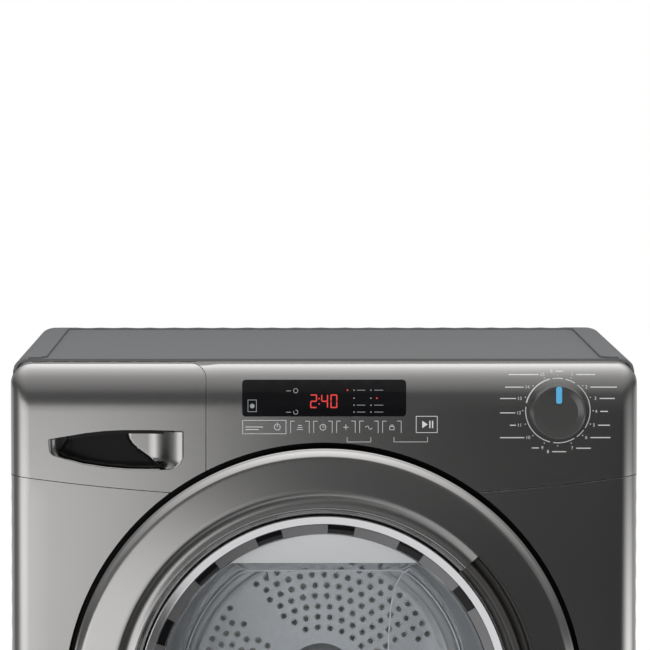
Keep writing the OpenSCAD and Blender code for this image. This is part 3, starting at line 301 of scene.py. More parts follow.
GRAPHITE = graphite("graphite_metallic_paint", 0.008)
GRAPHITE_PLASTIC = graphite("graphite_lacquer", 0.006)
FINISHES = {
    "graphite_panel": GRAPHITE,
    "graphite_plastic": GRAPHITE_PLASTIC,
    "worktop_grey": painted("worktop_laminate", (0.175, 0.178, 0.182), (0.215, 0.217, 0.22), 0.5,
                            relief=0.12, relief_scale=900, speck_scale=1400, specular_ior_level=0.05),
    "zinc_steel": rolled("galvanised_sheet", (0.50, 0.51, 0.52), (0.62, 0.63, 0.64), 0.38,
                         (1, 1, 0.2), scale=40),
    "drum_steel": rolled("drum_stainless", (0.36, 0.375, 0.405), (0.47, 0.485, 0.515), 0.3,
                         (6, 0.4, 6), scale=50, metallic=0.6, spread=0.08, relief=0.03),
    "black_gloss": painted("display_gloss", (0.004, 0.004, 0.005), (0.008, 0.008, 0.009), 0.08,
                           haze=0.03, relief=0.0, specular_ior_level=0.22),
    "black_plastic": painted("black_moulding", (0.005, 0.005, 0.005), (0.010, 0.010, 0.010), 0.5,
                             relief=0.15, relief_scale=1800, specular_ior_level=0.2),
    "grey_plastic": painted("grey_moulding", (0.22, 0.22, 0.225), (0.27, 0.27, 0.275), 0.45,
                            relief=0.12, relief_scale=1600),
    "light_plastic": painted("light_moulding", (0.56, 0.56, 0.55), (0.66, 0.66, 0.65), 0.42,
                             relief=0.12, relief_scale=1500),
    "circuit_green": painted("circuit_lacquer", (0.01, 0.10, 0.035), (0.02, 0.18, 0.06), 0.3,
                             relief=0.3, relief_scale=700, speck_scale=500),
    "rubber_black": painted("rubber_feet", (0.018, 0.018, 0.018), (0.035, 0.035, 0.035), 0.7,
                            relief=0.35, relief_scale=900),
    "seal_grey": painted("seal_rubber", (0.11, 0.11, 0.115), (0.15, 0.15, 0.155), 0.6,
                         relief=0.2, relief_scale=1100),
    "felt": painted("wool_felt", (0.52, 0.48, 0.40), (0.70, 0.66, 0.58), 0.95, relief=1.0,
                    relief_scale=2200, speck_scale=1600, share=0.9),
    "clear_glass": clear("door_glass_clear", (0.97, 0.985, 0.98), 1.45),
    "bright_steel": rolled("bright_pressed_steel", (0.62, 0.62, 0.62), (0.76, 0.76, 0.76), 0.2,
                           (1, 1, 8), scale=70),
    "alu": rolled("mill_aluminium", (0.70, 0.71, 0.72), (0.82, 0.83, 0.84), 0.32, (8, 1, 1), scale=60),
    "copper": rolled("drawn_copper", (0.62, 0.26, 0.13), (0.78, 0.38, 0.22), 0.28, (1, 8, 8), scale=50),
    "motor_grey": painted("motor_enamel", (0.10, 0.105, 0.11), (0.15, 0.155, 0.16), 0.4,
                          relief=0.2, relief_scale=500),
}
GLASS = FINISHES["clear_glass"]
BLACK_GLOSS, BLACK_PLASTIC = FINISHES["black_gloss"], FINISHES["black_plastic"]
BRIGHT_STEEL, DRUM_STEEL = FINISHES["bright_steel"], FINISHES["drum_steel"]
# Pale tone: frosted glass, and partly a painted highlight for the bright light that the facet shows.
FACET_FROSTED_LIT = painted("frosted_facet", (0.70, 0.71, 0.72), (0.78, 0.79, 0.80), 0.16, haze=0.04, relief=0.01)
KNOB_GLOSS = painted("selector_lacquer", (0.055, 0.055, 0.054), (0.075, 0.075, 0.073), 0.14,
                     haze=0.04, relief=0.01)
GRIP_PLASTIC = painted("grip_moulding", (0.038, 0.036, 0.034), (0.050, 0.047, 0.044), 0.35, relief=0.02)
RIM_METAL = painted("rim_metal", (0.50, 0.50, 0.51), (0.58, 0.58, 0.59), 0.14,
                    metallic=1.0, haze=0.04, relief=0.01)
RING_GLASS = painted("glass_rim_band", (0.14, 0.14, 0.145), (0.19, 0.19, 0.195), 0.16, metallic=0.4, haze=0.04)
# Pale tone of the glass bead and rib: a painted highlight for the light lines that these glass edges show.
BEAD_GLINT = painted("moulded_bead", (0.58, 0.61, 0.65), (0.68, 0.71, 0.75), 0.2, haze=0.05)
PRINT = painted("white_print", (0.72, 0.73, 0.73), (0.80, 0.81, 0.81), 0.5, relief=0.1, relief_scale=2500)
POINTER = painted("blue_pointer", (0.09, 0.46, 0.81), (0.13, 0.52, 0.86), 0.35)
RED_LIGHT = glowing("red_segments", (1.0, 0.03, 0.025), 0.75)
ICON_LIGHT = glowing("grey_icons", (0.55, 0.6, 0.62), 0.45)

# ---- Meshes ----


def at(x, depth, z):
    """A point from millimetres across, behind the front plane, and up."""
    return (x * MM, (FRONT + depth) * MM, z * MM)


def linked(name, data):
    """An object with this name and data, put in the scene."""
    made = bpy.data.objects.new(name, data)
    bpy.context.scene.collection.objects.link(made)
    return made


def new_piece(name, verts, faces, material):
    mesh = bpy.data.meshes.new(name)
    mesh.from_pydata(verts, [], faces)
    mesh.materials.append(material)
    return linked(name, mesh)


def edited(made, change):
    """The piece with its mesh worked on by the given function."""
    form = bmesh.new()
    form.from_mesh(made.data)
    change(form)
    form.to_mesh(made.data)
    form.free()
    return made


def tidy(made, merge=0.02, outward=True):
    """Doubles merged first, then every face turned outwards and shaded smooth."""
    def change(form):
        bmesh.ops.remove_doubles(form, verts=form.verts, dist=merge * MM)
        bmesh.ops.dissolve_degenerate(form, edges=form.edges, dist=0.001 * MM)
        if outward:
            bmesh.ops.recalc_face_normals(form, faces=form.faces)
        for face in form.faces:
            face.smooth = True
    return edited(made, change)


def facing(made, way):
    """The open skin with its faces turned to look the given way."""
    def change(form):
        bmesh.ops.recalc_face_normals(form, faces=form.faces)
        if sum(f.normal.dot(way) * f.calc_area() for f in form.faces) < 0:
            bmesh.ops.reverse_faces(form, faces=form.faces)
    return edited(made, change)


FORWARD, UPWARD = Vector((0, -1, 0)), Vector((0, 0, 1))


def joined(first, second):
    """The second piece's mesh worked into the first one."""
    edited(first, lambda form: form.from_mesh(second.data))
    bpy.data.objects.remove(second)
    return first


def shaded(made, smooth):
    """The piece with all its faces smooth or all flat."""
    made.data.polygons.foreach_set("use_smooth", [smooth] * len(made.data.polygons))
    return made


def crisp(made, angle):
    """Edges sharper than the angle stay sharp in the shading."""
    made.data.set_sharp_from_angle(angle=radians(angle))
    return made


def soft_edges(made, width):
    """Rounds the piece's sharper edges by this width."""
    bevel = made.modifiers.new("soft edges", "BEVEL")
    bevel.width = width * MM
    bevel.segments = 2
    bevel.limit_method = "ANGLE"
    bevel.angle_limit = radians(38)
    bevel.harden_normals = True


def thick(made, wall):
    """Gives the skin a wall on its inner side."""
    solid = made.modifiers.new("wall", "SOLIDIFY")
    solid.thickness = wall * MM
    solid.offset = -1


def settle(made, body, replaces=()):
    """Puts the finished piece on its body and hides the nodes that it stands for."""
    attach(made, body)
    if replaces:
        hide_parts(*replaces)


def applied(made):
    """The piece with its modifiers worked into one plain mesh."""
    graph = bpy.context.evaluated_depsgraph_get()
    mesh = bpy.data.meshes.new_from_object(made.evaluated_get(graph))
    old = made.data
    made.modifiers.clear()
    made.data = mesh
    bpy.data.meshes.remove(old)
    mesh.name = made.name
    return made


def softened(section, radius, steps=4):
    """A closed section with its corners rounded, each by the radius that its place in the list names."""
    count = len(section)
    out = []
    for i, corner in enumerate(section):
        r = radius[i] if isinstance(radius, (list, tuple)) else radius
        here = Vector(corner)
        before, after = Vector(section[i - 1]) - here, Vector(section[(i + 1) % count]) - here
        if r <= 0 or before.length < 1e-6 or after.length < 1e-6:
            out.append(tuple(here))
            continue
        half = before.angle(after) / 2
        if half > radians(87):
            out.append(tuple(here))
            continue
        reach = min(r / math.tan(half), 0.48 * before.length, 0.48 * after.length)
        a, b = here + before.normalized() * reach, here + after.normalized() * reach
        for k in range(steps + 1):
            t = k / steps
            out.append(tuple(a * (1 - t) ** 2 + here * 2 * t * (1 - t) + b * t ** 2))
    return out


def turned(name, section, centre, material, steps, start=0.0, sweep=360.0):
    """A closed (radius, depth) section turned about a front-to-rear axis. Angles run from +X towards +Z."""
    whole = sweep >= 360
    count = steps if whole else steps + 1
    verts, faces = [], []
    for k in range(count):
        a = radians(start + sweep * k / steps)
        verts += [at(centre[0] + r * cos(a), d, centre[1] + r * sin(a)) for r, d in section]
    n = len(section)
    for k in range(steps):
        a, b = k * n, ((k + 1) % count) * n
        for i in range(n):
            j = (i + 1) % n
            faces.append((a + i, a + j, b + j, b + i))
    if not whole:
        faces.append(tuple(range(n)))
        faces.append(tuple(reversed(range((count - 1) * n, count * n))))
    return tidy(new_piece(name, verts, faces, material))


def inside(point, polygon):
    """Whether the point is inside the closed polygon."""
    x, y = point
    hit = False
    j = len(polygon) - 1
    for i in range(len(polygon)):
        xi, yi = polygon[i]
        xj, yj = polygon[j]
        if (yi > y) != (yj > y) and x < (xj - xi) * (y - yi) / (yj - yi) + xi:
            hit = not hit
        j = i
    return hit


def fine(polygon, step):
    """The closed polygon with extra points, so that no side is longer than the step."""
    out = []
    for i, a in enumerate(polygon):
        b = polygon[(i + 1) % len(polygon)]
        parts = max(1, int(math.dist(a, b) / step + 0.999))
        out += [(a[0] + (b[0] - a[0]) * k / parts, a[1] + (b[1] - a[1]) * k / parts) for k in range(parts)]
    return out


def loop_edges(loops):
    """The loops' points in one list, and the edges that close each loop."""
    points, edges = [], []
    for loop in loops:
        first = len(points)
        points += loop
        edges += [(first + k, first + (k + 1) % len(loop)) for k in range(len(loop))]
    return points, edges


def cells_near(point, size):
    """The square cell that holds the point, and its neighbours."""
    column, row = int(point[0] // size), int(point[1] // size)
    return [(column + i, row + j) for i in (-1, 0, 1) for j in (-1, 0, 1)]


def skin(name, points, edges, keep, place, material, merge=0.02):
    """A skin of triangles between flat points, where keep allows it, with each point put in its place."""
    verts, _, faces, _, _, _ = delaunay_2d_cdt([Vector(p) for p in points], edges, [], 0, 1e-5)
    kept = [face for face in faces if keep(sum(verts[i][0] for i in face) / 3, sum(verts[i][1] for i in face) / 3)]
    used = sorted({i for face in kept for i in face})
    order = {i: k for k, i in enumerate(used)}
    made = new_piece(name, [place(*verts[i]) for i in used], [tuple(order[i] for i in face) for face in kept], material)
    return facing(tidy(made, merge, outward=False), FORWARD)


def sheet(name, outline, holes, lines_u, lines_v, form, material, step=4.0):
    """A skin over the region inside the outline and outside the holes, each (u, v) point placed by form."""
    cell = 0.9
    points, edges = loop_edges([fine(loop, step) for loop in [outline] + holes])
    taken = {near for point in points for near in cells_near(point, cell)}
    low_u, high_u = min(p[0] for p in outline), max(p[0] for p in outline)
    low_v, high_v = min(p[1] for p in outline), max(p[1] for p in outline)
    points += [(u, v) for u in lines_u for v in lines_v
               if low_u < u < high_u and low_v < v < high_v and (int(u // cell), int(v // cell)) not in taken]

    def keep(u, v):
        return inside((u, v), outline) and not any(inside((u, v), hole) for hole in holes)
    return skin(name, points, edges, keep, lambda u, v: at(*form(u, v)), material)


def arc(cx, cz, r, start, end, steps):
    """Points on a circle, their angles from +X towards +Z."""
    return [(cx + r * cos(radians(start + (end - start) * k / steps)),
             cz + r * sin(radians(start + (end - start) * k / steps))) for k in range(steps + 1)]


def circle(cx, cz, r, count=16):
    return arc(cx, cz, r, 0, 360 - 360 / count, count - 1)


def round_box(x0, z0, x1, z1, r, steps):
    """A rectangle's outline with round corners."""
    return (arc(x1 - r, z1 - r, r, 0, 90, steps) + arc(x0 + r, z1 - r, r, 90, 180, steps)
            + arc(x0 + r, z0 + r, r, 180, 270, steps) + arc(x1 - r, z0 + r, r, 270, 360, steps))


def frange(a, b, step):
    """Even steps from a to b, as near to the given step as they can be."""
    count = max(1, round((b - a) / step))
    return [a + (b - a) * k / count for k in range(count + 1)]


def copies_tree():
    """Copies of a small part at a piece's points, each turned as its point says, worked into one mesh."""
    tree = bpy.data.node_groups.new("placed_copies", "GeometryNodeTree")
    tree.interface.new_socket("Points", in_out="INPUT", socket_type="NodeSocketGeometry")
    tree.interface.new_socket("Part", in_out="INPUT", socket_type="NodeSocketObject")
    tree.interface.new_socket("Size", in_out="INPUT", socket_type="NodeSocketFloat").default_value = 1
    tree.interface.new_socket("Material", in_out="INPUT", socket_type="NodeSocketMaterial")
    tree.interface.new_socket("Copies", in_out="OUTPUT", socket_type="NodeSocketGeometry")
    link = tree.links.new
    given = node(tree, "NodeGroupInput", "given")
    part = node(tree, "GeometryNodeObjectInfo", "part")
    turn = node(tree, "GeometryNodeInputNamedAttribute", "turn of the point", data_type="FLOAT_VECTOR")
    turn.inputs["Name"].default_value = "turn"
    placed = node(tree, "GeometryNodeInstanceOnPoints", "placed")
    real = node(tree, "GeometryNodeRealizeInstances", "real")
    painted_on = node(tree, "GeometryNodeSetMaterial", "finish")
    result = node(tree, "NodeGroupOutput", "copies")
    link(given.outputs["Points"], placed.inputs["Points"])
    link(given.outputs["Part"], part.inputs["Object"])
    link(part.outputs["Geometry"], placed.inputs["Instance"])
    link(turn.outputs["Attribute"], placed.inputs["Rotation"])
    link(given.outputs["Size"], placed.inputs["Scale"])
    link(placed.outputs["Instances"], real.inputs["Geometry"])
    link(real.outputs["Geometry"], painted_on.inputs["Geometry"])
    link(given.outputs["Material"], painted_on.inputs["Material"])
    link(painted_on.outputs["Geometry"], result.inputs["Copies"])
    return tree


COPIES = copies_tree()


def copies(name, part, places, material):
    """One piece of many copies of a part. Each place is (point, turn)."""
    made = new_piece(name, [point for point, _ in places], [], material)
    turns = made.data.attributes.new("turn", "FLOAT_VECTOR", "POINT")
    for k, (_, turn) in enumerate(places):
        turns.data[k].vector = turn
    maker = made.modifiers.new("copies", "NODES")
    maker.node_group = COPIES
    values = {"Part": part, "Material": material}
    for item in COPIES.interface.items_tree:
        if item.in_out == "INPUT" and item.name in values:
            maker[item.identifier] = values[item.name]
    applied(made)
    bpy.data.objects.remove(part)
    return shaded(made, True)


def small_turned(name, section, material, steps):
    """A small closed (radius, depth) section turned about its own front-to-rear axis, at the origin."""
    n = len(section)
    verts = [(r * MM * cos(2 * pi * k / steps), d * MM, r * MM * sin(2 * pi * k / steps))
             for k in range(steps) for r, d in section]
    faces = [(k * n + i, k * n + (i + 1) % n, (k + 1) % steps * n + (i + 1) % n, (k + 1) % steps * n + i)
             for k in range(steps) for i in range(n)]
    return tidy(new_piece(name, verts, faces, material), merge=0.005)


# ---- Camera, floor and lamps: places in metres, turns in degrees ----

LENS, SENSOR, CLIP_END = 252, 36, 50
CAMERA_PLACE = (-0.030, FRONT * MM - 4.30, 1.1455)
CAMERA_DOWN, CAMERA_RIGHT = 3.46, 0.41
FLOOR_LIFT = 0.55
FLOOR_HALF = 14
DOME_R, DOME_Z = 3.4, 0.83
# Name, place, target, width, height and watts.
LAMPS = [("left_wall_of_light", (-1.75, -4.4, 1.0), (-1.2, -0.27, 0.8), 3.1, 2.4, 40),
         ("ceiling_of_light", (0, -0.6, 2.6), (0, -0.2, 0.8), 2.6, 1.6, 14),
         ("drum_fill", at(0, 150, DOOR_Z - 90), at(0, 500, DOOR_Z + 80), 0.3, 0.1, 0.12),
         ("right_strip", (2.2, -0.6, 0.9), (0.3, -0.2, 0.7), 0.5, 2.2, 12)]
# Height in degrees, and strength.
DOME = [(-3, 0.2), (4, 0.25), (10, 0.4), (20, 0.7), (33, 1.05), (53, 2.1), (70, 3.3), (85, 3.8), (90, 3.8)]
# Degrees to the right of the front, and strength.
LOW_FRONT = [(-110, 0.4), (-80, 0.45), (-66, 1.6), (-55, 3.0), (-38, 3.4), (-19, 2.9), (-8, 2.4), (-4.2, 1.8),
             (-1.9, 0.08), (10, 0.09), (30, 0.2)]
# The right strip's share at each angle, and its strength at each height.
RIGHT_SHARES = [(14, 0), (28, 0.12), (42, 0.55), (60, 1.1), (82, 1.1), (105, 0.4)]
RIGHT_HEIGHTS = [(0.01, 4.2), (0.3, 3.4), (0.45, 2.2), (0.6, 0.9), (0.72, 0.25), (0.82, 0.05)]


def camera():
    """A long lens in front of the machine, a little above its middle, turned a little down and to the right."""
    data = bpy.data.cameras.new("camera")
    data.lens, data.sensor_width, data.clip_end = LENS, SENSOR, CLIP_END
    made = linked("camera", data)
    made.location = CAMERA_PLACE
    made.rotation_euler = (radians(90 - CAMERA_DOWN), 0, radians(-CAMERA_RIGHT))
    bpy.context.scene.camera = made


def seen_rays(tree):
    """1 for rays from the camera, metal and glass, 0 for those that light the object."""
    path = node(tree, "ShaderNodeLightPath", "ray")
    first = node(tree, "ShaderNodeMath", "camera or metal", operation="MAXIMUM")
    second = node(tree, "ShaderNodeMath", "or glass", operation="MAXIMUM")
    tree.links.new(path.outputs["Is Camera Ray"], first.inputs[0])
    tree.links.new(path.outputs["Is Glossy Ray"], first.inputs[1])
    tree.links.new(first.outputs[0], second.inputs[0])
    tree.links.new(path.outputs["Is Transmission Ray"], second.inputs[1])
    return second.outputs[0]


def pale_floor():
    """A pale floor that keeps the object's shadow and shows white where nothing shades it."""
    material, tree, shader = new_material("floor_white", base_color=0.8, roughness=0.9, specular_ior_level=0.1,
                                          emission_color=1.0)
    lift = node(tree, "ShaderNodeMath", "lift where seen", operation="MULTIPLY")
    tree.links.new(seen_rays(tree), lift.inputs[0])
    lift.inputs[1].default_value = FLOOR_LIFT
    tree.links.new(lift.outputs[0], shader.inputs["Emission Strength"])
    return material


def floor():
    h, z = FLOOR_HALF, -0.0005
    new_piece("floor", [(-h, -h, z), (h, -h, z), (h, h, z), (-h, h, z)], [(0, 1, 2, 3)], pale_floor())


def card_light():
    """A card that shines as its own points say."""
    material, tree, shader = new_material("card_light", base_color=0.0, specular_ior_level=0, emission_color=1.0)
    light = node(tree, "ShaderNodeAttribute", "light of the point", attribute_name="light")
    tree.links.new(light.outputs["Fac"], shader.inputs["Emission Strength"])
    return material


def card(name, rows, light_of_points):
    """A card in the studio seen only in reflections. Each row is a list of (place, light)."""
    count = len(rows[0])
    verts = [place for row in rows for place, _ in row]
    faces = [(r * count + k, r * count + k + 1, (r + 1) * count + k + 1, (r + 1) * count + k)
             for r in range(len(rows) - 1) for k in range(count - 1)]
    made = new_piece(name, verts, faces, light_of_points)
    light = made.data.attributes.new("light", "FLOAT", "POINT")
    light.data.foreach_set("value", [value for row in rows for _, value in row])
    made.visible_camera = made.visible_diffuse = made.visible_shadow = made.visible_transmission = False


def around_front(radius, turn, height, middle=0.0):
    """A place in metres at a distance from the front's middle, turned to the right by so many degrees."""
    return (middle + radius * sin(radians(turn)), FRONT * MM - radius * cos(radians(turn)), height)


def dome_place(turn, rise):
    return around_front(DOME_R * cos(radians(rise)), turn, DOME_Z + DOME_R * sin(radians(rise)))


def cards():
    """The studio's cards: a dome of light, a bright left and a dark right, and a flag for the top edge."""
    shine, y = card_light(), FRONT * MM
    card("dome_card", [[(dome_place(a, rise), v) for a in frange(-130, 130, 20)] for rise, v in DOME], shine)
    card("low_front_card", [[(around_front(3.0, a, h), v) for a, v in LOW_FRONT] for h in (0.0, 0.70)], shine)
    card("right_mat", [[((x, d, 0.004), 0.1) for x in (-0.10, 3.0)] for d in (-3.3, -1.35)], shine)
    card("right_strip_card", [[(around_front(1.6, a, h, 0.28), 0.06 + v * share) for a, share in RIGHT_SHARES]
                              for h, v in RIGHT_HEIGHTS], shine)
    card("rear_card", [[((x, y + 2.8, h), 0.16) for x in (-2.4, 2.4)] for h in (0.75, 2.4)], shine)
    card("top_flag", [[((x, y - 0.2, h), 0.2) for x in (-0.6, 0.6)] for h in (0.795, 0.862)], shine)


def world():
    """Soft light from all round, and plain white where the world itself is seen."""
    made = bpy.data.worlds.new("studio")
    bpy.context.scene.world = made
    made.use_nodes = True
    tree = made.node_tree
    soft = tree.nodes["Background"]
    white = node(tree, "ShaderNodeBackground", "white behind")
    for shader, strength in ((soft, 0.55), (white, 1.0)):
        shader.inputs["Color"].default_value = rgba(1)
        shader.inputs["Strength"].default_value = strength
    mix = node(tree, "ShaderNodeMixShader", "white where seen")
    tree.links.new(seen_rays(tree), mix.inputs["Fac"])
    tree.links.new(soft.outputs[0], mix.inputs[1])
    tree.links.new(white.outputs[0], mix.inputs[2])
    tree.links.new(mix.outputs[0], tree.nodes["World Output"].inputs["Surface"])


def lamp(name, place, target, width, height, watts):
    """A rectangular lamp that points at its target, out of sight of camera and metal."""
    data = bpy.data.lights.new(name, "AREA")
    data.shape = "RECTANGLE"
    data.size, data.size_y = width, height
    data.energy = watts
    made = linked(name, data)
    made.location = place
    made.rotation_euler = (Vector(target) - Vector(place)).to_track_quat("-Z", "Y").to_euler()
    made.visible_camera = made.visible_glossy = False


def lamps():
    for row in LAMPS:
        lamp(*row)


# ---- The rolled front: fascia, drawer front and front panel ----

SIDE_LEN = EDGE_R * pi / 2
U_MAX = HALF_W - EDGE_R + SIDE_LEN      # where the skin has turned round the upright edge
V_MAX = TOP - ROLL_H + ROLL_LEN         # where it has turned over the top edge
SIDE_RETURN, TOP_RETURN, LOW_RETURN = 34, 36, 6     # how far it then runs back


def round_side(u):
    """Across the front to (x, depth): flat, round the upright edge, then straight back."""
    past = abs(u) - (HALF_W - EDGE_R)
    if past <= 0:
        return u, 0.0
    turn = min(past / EDGE_R, pi / 2)
    x = HALF_W - EDGE_R + EDGE_R * sin(turn)
    return math.copysign(x, u), EDGE_R * (1 - cos(turn)) + max(0.0, past - SIDE_LEN)


def roll_top(v):
    """Up the front to (z, depth): flat, over the rolled edge, then straight back."""
    past = v - (TOP - ROLL_H)
    if past <= 0:
        return v, 0.0
    turn = min(past / ROLL_LEN, 1) * pi / 2
    return TOP - ROLL_H + ROLL_H * sin(turn), ROLL_D * (1 - cos(turn)) + max(0.0, past - ROLL_LEN)


def v_of(z):
    past = z - (TOP - ROLL_H)
    return z if past <= 0 else TOP - ROLL_H + ROLL_LEN * math.asin(min(1, past / ROLL_H)) / (pi / 2)


def u_of(x):
    past = abs(x) - (HALF_W - EDGE_R)
    return x if past <= 0 else math.copysign(HALF_W - EDGE_R + EDGE_R * math.asin(min(1, past / EDGE_R)), x)


def cover_form(u, v):
    """A point of the cabinet's front skin as (x, depth, z)."""
    x, side_d = round_side(u)
    z, top_d = roll_top(v)
    depth = max(math.hypot(min(side_d, EDGE_R), min(top_d, ROLL_D)), side_d, top_d)
    p = (abs(x) - (HALF_W - CORNER_R)) / CORNER_R
    q = (z - (TOP - CORNER_R)) / CORNER_R
    if p > 0 and q > 0:
        x = math.copysign(HALF_W - CORNER_R + CORNER_R * p * sqrt(1 - q * q / 2), x)
        z = TOP - CORNER_R + CORNER_R * q * sqrt(1 - p * p / 2)
    return x, depth, z


def on_cover(x, z, raised=0.0):
    """A point on the front skin seen at (x, z) from the front, raised along the skin's normal."""
    u, v = u_of(x), v_of(z)
    here = Vector(cover_form(u, v))
    if not raised:
        return at(*here)
    along = Vector(cover_form(u + 0.05, v)) - Vector(cover_form(u - 0.05, v))
    upward = Vector(cover_form(u, v + 0.05)) - Vector(cover_form(u, v - 0.05))
    normal = along.cross(upward)
    normal.normalize()
    return at(*(here + normal * raised * (-1 if normal.y > 0 else 1)))


def seam_at(x):
    """Height of the seam under the fascia."""
    return SEAM_LOW + SEAM_R - sqrt(SEAM_R ** 2 - x * x)


# Grid lines of the front's skins, closer where the skins bend.
SIDE_LINES = [HALF_W - EDGE_R + EDGE_R * radians(a) for a in range(0, 91, 6)]
LINES_U = sorted(set(frange(-260, 260, 20) + [s * u for u in SIDE_LINES + [U_MAX + 3] for s in (-1, 1)]))
LINES_V = frange(SEAM_LOW - 10, TOP - ROLL_H, 12)[:-1] + [
    TOP - ROLL_H + ROLL_LEN * k / 22 for k in range(23)] + [V_MAX + 9, V_MAX + 18, V_MAX + 27]


def drawer_shape(gap):
    """The drawer front's outline on the skin, grown by gap on its free sides."""
    x, z, r = DRAWER_X + gap, DRAWER_TOP + gap, 14
    left = -U_MAX - 6.5 - gap
    corner = [(px, v_of(pz)) for px, pz in arc(x - r, z - r, r, 0, 90, 12)]
    return [(left, SEAM_LOW - 40), (x, SEAM_LOW - 40), (x, z - 2 * r)] + corner + [(left, v_of(z))]


def lower_edge(gap, out):
    """The curved seam's line across the skin, raised by gap, and run on past the upright edges."""
    edge = [(u, seam_at(min(HALF_W, abs(round_side(u)[0]))) + gap) for u in frange(-U_MAX, U_MAX, 6)]
    z = seam_at(HALF_W) + gap
    return [(-U_MAX - out, z)] + edge + [(U_MAX + out, z)]


def hull(points):
    """The outline drawn tight round the points."""
    points = sorted(set((round(x, 4), round(z, 4)) for x, z in points))

    def half(seq):
        out = []
        for p in seq:
            while len(out) > 1 and ((out[-1][0] - out[-2][0]) * (p[1] - out[-2][1])
                                    - (out[-1][1] - out[-2][1]) * (p[0] - out[-2][0])) <= 0:
                out.pop()
            out.append(p)
        return out[:-1]
    return half(points) + half(points[::-1])


GRIP_X0, GRIP_X1, GRIP_TOP, GRIP_LOW = -HALF_W + 37, DRAWER_X - 21, TOP - 65, TOP - 101


def grip_shape(grow):
    """The finger recess seen from the front: the hull of round corners, each (x, z, radius)."""
    x0, x1, zt, zb = GRIP_X0, GRIP_X1, GRIP_TOP, GRIP_LOW
    corners = ((x0 + 1.6, zt - 9.6, 2), (x0 + 8.0, zt - 16.6, 8), (x0 + 33, zb + 7.0, 3), (x0 + 53, zb + 3.9, 3),
               (x0 + 74, zb + 2.1, 3), (x0 + 94, zb + 1.7, 3), (x0 + 16, zt - 8.4, 3), (x0 + 35.7, zt - 4.9, 3),
               (x0 + 53, zt - 3.0, 3), (x0 + 70, zt - 2.2, 3), (x0 + 95, zt - 2.2, 3), (x1 - 16, zb + 14.9, 16),
               (x1 - 1.5, zt - 1.6, 1.5))
    return hull([p for x, z, r in corners for p in circle(x, z, r + grow, 60)])


def window_shape(grow):
    """The display window's outline on the skin."""
    (x0, _, z0), (x1, _, z1) = WINDOW_LOW, WINDOW_HIGH
    loop = round_box(x0 - grow, z0 - grow, x1 + grow, z1 + grow, 3 + grow, 6)
    return [(x, v_of(z)) for x, z in loop]


def skin_hole():
    return circle(*DOOR_MID, SKIN_HOLE_R, 180)


def fascia():
    """The control fascia's skin, which rolls back over the top and round both sides."""
    low, high, side, end = v_of(WORKTOP_LOW[2]), V_MAX + TOP_RETURN, U_MAX + SIDE_RETURN, U_MAX + LOW_RETURN
    outline = lower_edge(SEAM_GAP, LOW_RETURN) + [
        (end, low), (side, low), (side, V_MAX), (U_MAX, V_MAX), (U_MAX, high),
        (-U_MAX, high), (-U_MAX, V_MAX), (-side, V_MAX), (-side, low), (-end, low)]
    lines_u = sorted(set(LINES_U + frange(-100, 100, 5)))
    made = sheet("fascia_skin", outline, [skin_hole(), drawer_shape(DRAWER_GAP), window_shape(0.4)],
                 lines_u, LINES_V, cover_form, GRAPHITE_PLASTIC)
    thick(made, SKIN_WALL)
    soft_edges(made, 0.45)
    settle(made, "cabinet", ["control_fascia"])


def drawer_front():
    """The drawer front's skin, cut off by the door's opening at its lower right."""
    shape = drawer_shape(-DRAWER_GAP)
    left = shape[0][0]
    door = [p for p in arc(*DOOR_MID, SKIN_HOLE_R, 180, 90, 90) if p[0] < DRAWER_X - 0.3]
    door = door[next(k for k, p in enumerate(door) if p[1] > seam_at(p[0]) + SEAM_GAP):]
    low = [p for p in lower_edge(SEAM_GAP, 0) if left < p[0] < door[0][0] - 1.5]
    outline = [(left, seam_at(HALF_W) + SEAM_GAP)] + low + door + shape[2:]
    lines_u = [u for u in LINES_U if u < -279.5] + frange(-279, DRAWER_X - 4, 7)
    lines_v = [v for v in LINES_V if v > TOP - ROLL_H] + frange(SEAM_LOW - 4, TOP - ROLL_H, 6)
    made = sheet("drawer_front_skin", outline, [grip_shape(0)], lines_u, lines_v, cover_form, GRAPHITE_PLASTIC)
    thick(made, SKIN_WALL)
    soft_edges(made, 0.5)
    settle(made, "water_drawer", ["container_front"])


def eased(t):
    """From 0 to 1 with a soft start and end."""
    t = min(1.0, max(0.0, t))
    return t * t * (3 - 2 * t)


def pocket_form(x, z):
    """The recess: a scoop at each end, deep in the middle, with a steep floor."""
    low = GRIP_LOW - 1.3 + max(0.0, (GRIP_X0 + 72 - x)) ** 2 / 320
    ends = eased((x - GRIP_X0 - 0.5) / 20) * eased((GRIP_X1 - 0.5 - x) / 32)
    rise = eased((z - low + 5) / 14)
    return x, 2.2 + 19.5 * ends * (0.3 + 0.7 * rise), z


# Painted shade: the recess's deep middle, which lies in shade, is drawn as a black piece. Its outline as (across,
# height from the top edge).
POCKET_SHADE = [(-243, -68), (-230, -65), (-210, -62.5), (-190, -62.2), (-187.5, -66), (-187, -70), (-185, -75.5),
        (-181, -81), (-175, -86.5), (-168, -91.5), (-161, -96.8), (-154, -100.4), (-167, -101), (-187, -100.6),
        (-207, -98.8), (-228, -95.6), (-245, -91), (-251, -87), (-248, -82), (-244, -76)]


def finger_pocket():
    """The graphite cup behind the finger recess, and a black piece in its middle that paints the shade of its deep
    part.
    """
    well = fine([(x, TOP + drop) for x, drop in POCKET_SHADE], 2)
    us, vs = frange(GRIP_X0, GRIP_X1, 2.2), frange(GRIP_LOW, GRIP_TOP, 1.8)
    cup = sheet("finger_pocket", grip_shape(1.2), [well], us, vs, pocket_form, GRAPHITE_PLASTIC, 2)
    # painted shade: a black sheet over the recess's deep middle, where shade falls
    middle = sheet("finger_pocket_well", well, [], us, vs, pocket_form, BLACK_PLASTIC, 2)
    for made, slot in ((cup, "graphite_plastic"), (middle, "black_plastic")):
        thick(made, 1.2)
        settle(made, "water_drawer")


